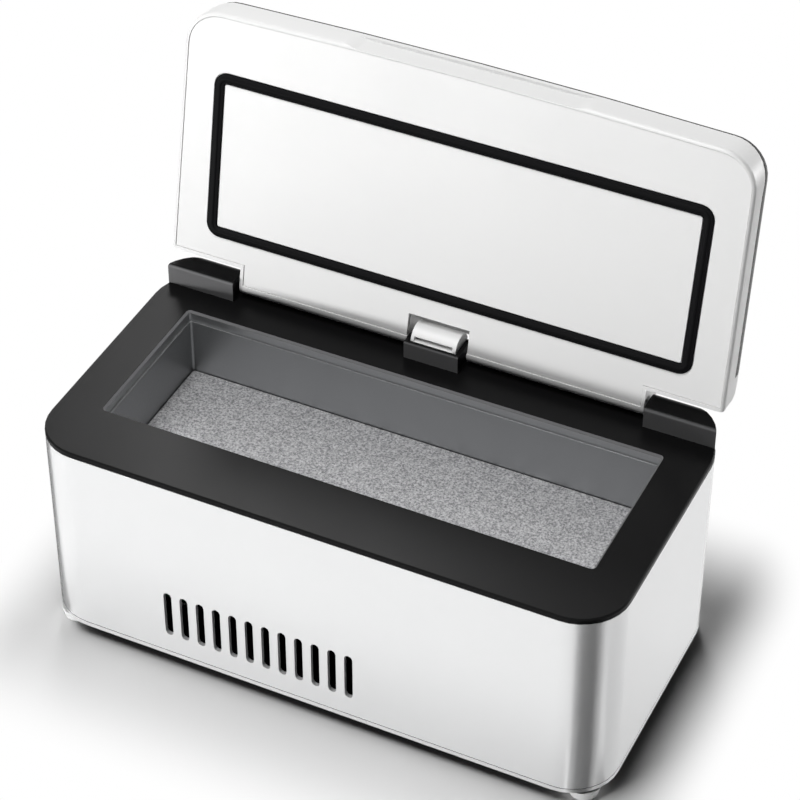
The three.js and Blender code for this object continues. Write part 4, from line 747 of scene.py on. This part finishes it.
tree.links.new(plain.outputs[0], mix.inputs[2])
below = add_node(tree, "ShaderNodeNewGeometry")
clear = add_node(tree, "ShaderNodeBsdfTransparent")
one_way = add_node(tree, "ShaderNodeMixShader")
tree.links.new(below.outputs["Backfacing"], one_way.inputs["Fac"])
tree.links.new(mix.outputs[0], one_way.inputs[1])
tree.links.new(clear.outputs[0], one_way.inputs[2])
tree.links.new(one_way.outputs[0], surface.inputs["Surface"])
floor_mesh.materials.append(table_white)

# Painted reflection: a glowing card seen only by reflections, its strength set by each corner's shade.
painted_reflection_glow = bpy.data.materials.new("painted_reflection_glow")
painted_reflection_glow.use_nodes = True
tree = painted_reflection_glow.node_tree
tree.nodes.clear()
surface = add_node(tree, "ShaderNodeOutputMaterial")
glow = add_node(tree, "ShaderNodeEmission", {"Color": (1, 1, 1, 1)})
shade = add_node(tree, "ShaderNodeAttribute", attribute_name="shade")
level = add_node(tree, "ShaderNodeMath", operation="MULTIPLY")
tree.links.new(shade.outputs["Fac"], level.inputs[0])
tree.links.new(seen_directly(tree), level.inputs[1])
tree.links.new(level.outputs[0], glow.inputs["Strength"])
tree.links.new(glow.outputs[0], surface.inputs["Surface"])


def place_painted_reflection(name, corners, z):
    """A glowing strip on the table that only reflections show, a painted reflection with its own shade at
    each pair of corners.
    """
    card_mesh = bpy.data.meshes.new(name)
    faces = [(i, i + 1, i + 3, i + 2) for i in range(0, len(corners) - 2, 2)]
    card_mesh.from_pydata([(x, case_middle_y + y, z) for x, y, shade in corners], [], faces)
    card_mesh.materials.append(painted_reflection_glow)
    shades = card_mesh.attributes.new("shade", "FLOAT", "POINT")
    shades.data.foreach_set("value", [shade for x, y, shade in corners])
    card = bpy.data.objects.new(name, card_mesh)
    card.visible_camera = False
    card.visible_diffuse = False
    card.visible_shadow = False
    card.visible_transmission = False
    bpy.context.scene.collection.objects.link(card)


# Painted reflections: the left card darkens the sleeve's left edge, the side card brightens its right face,
# darker near the front corner.
place_painted_reflection("left_card", LEFT_CARD, CARD_Z)
place_painted_reflection("side_card", SIDE_CARD, CARD_Z)
# Painted reflection: the corner card lays a dark stripe down the sleeve's front right corner.
stripe = []
for turn, shade in STRIPE_SHADES:
    bend = math.radians(turn)
    aim = math.radians(2 * turn + STRIPE_TURN)
    foot = SLEEVE_CORNER + SLEEVE_CORNER_R * Vector((math.sin(bend) - 1, 1 - math.cos(bend)))
    tip = foot + STRIPE_LENGTH * Vector((math.sin(aim), -math.cos(aim)))
    stripe.append((foot.x, foot.y, shade))
    stripe.append((tip.x, tip.y, shade))
place_painted_reflection("corner_card", stripe, STRIPE_Z)

world = bpy.data.worlds.new("surround")
bpy.context.scene.world = world
world.use_nodes = True
tree = world.node_tree
background = next(n for n in tree.nodes if n.type == "BACKGROUND")
background.inputs["Color"].default_value = (1, 1, 1, 1)
tree.links.new(seen_directly(tree), background.inputs["Strength"])

for name, place, (width, height), power in LIGHTS:
    lamp = bpy.data.lights.new(name, "AREA")
    lamp.shape = "RECTANGLE"
    lamp.size = width
    lamp.size_y = height
    lamp.energy = power
    light = bpy.data.objects.new(name, lamp)
    light.location = place
    light.rotation_euler = (LIGHT_AIM - Vector(place)).to_track_quat("-Z", "Y").to_euler()
    bpy.context.scene.collection.objects.link(light)

camera_data = bpy.data.cameras.new("camera")
camera_data.sensor_width = 36
camera_data.lens = 127.48
camera_data.shift_x = -0.0328
camera_data.shift_y = -0.0384
camera = bpy.data.objects.new("camera", camera_data)
camera.location = (0.329274, -0.682720, 0.737304)
camera.rotation_euler = (math.radians(50.32317), math.radians(-0.39827), math.radians(25.28463))
bpy.context.scene.collection.objects.link(camera)
bpy.context.scene.camera = camera
bpy.context.scene.view_settings.view_transform = "Standard"
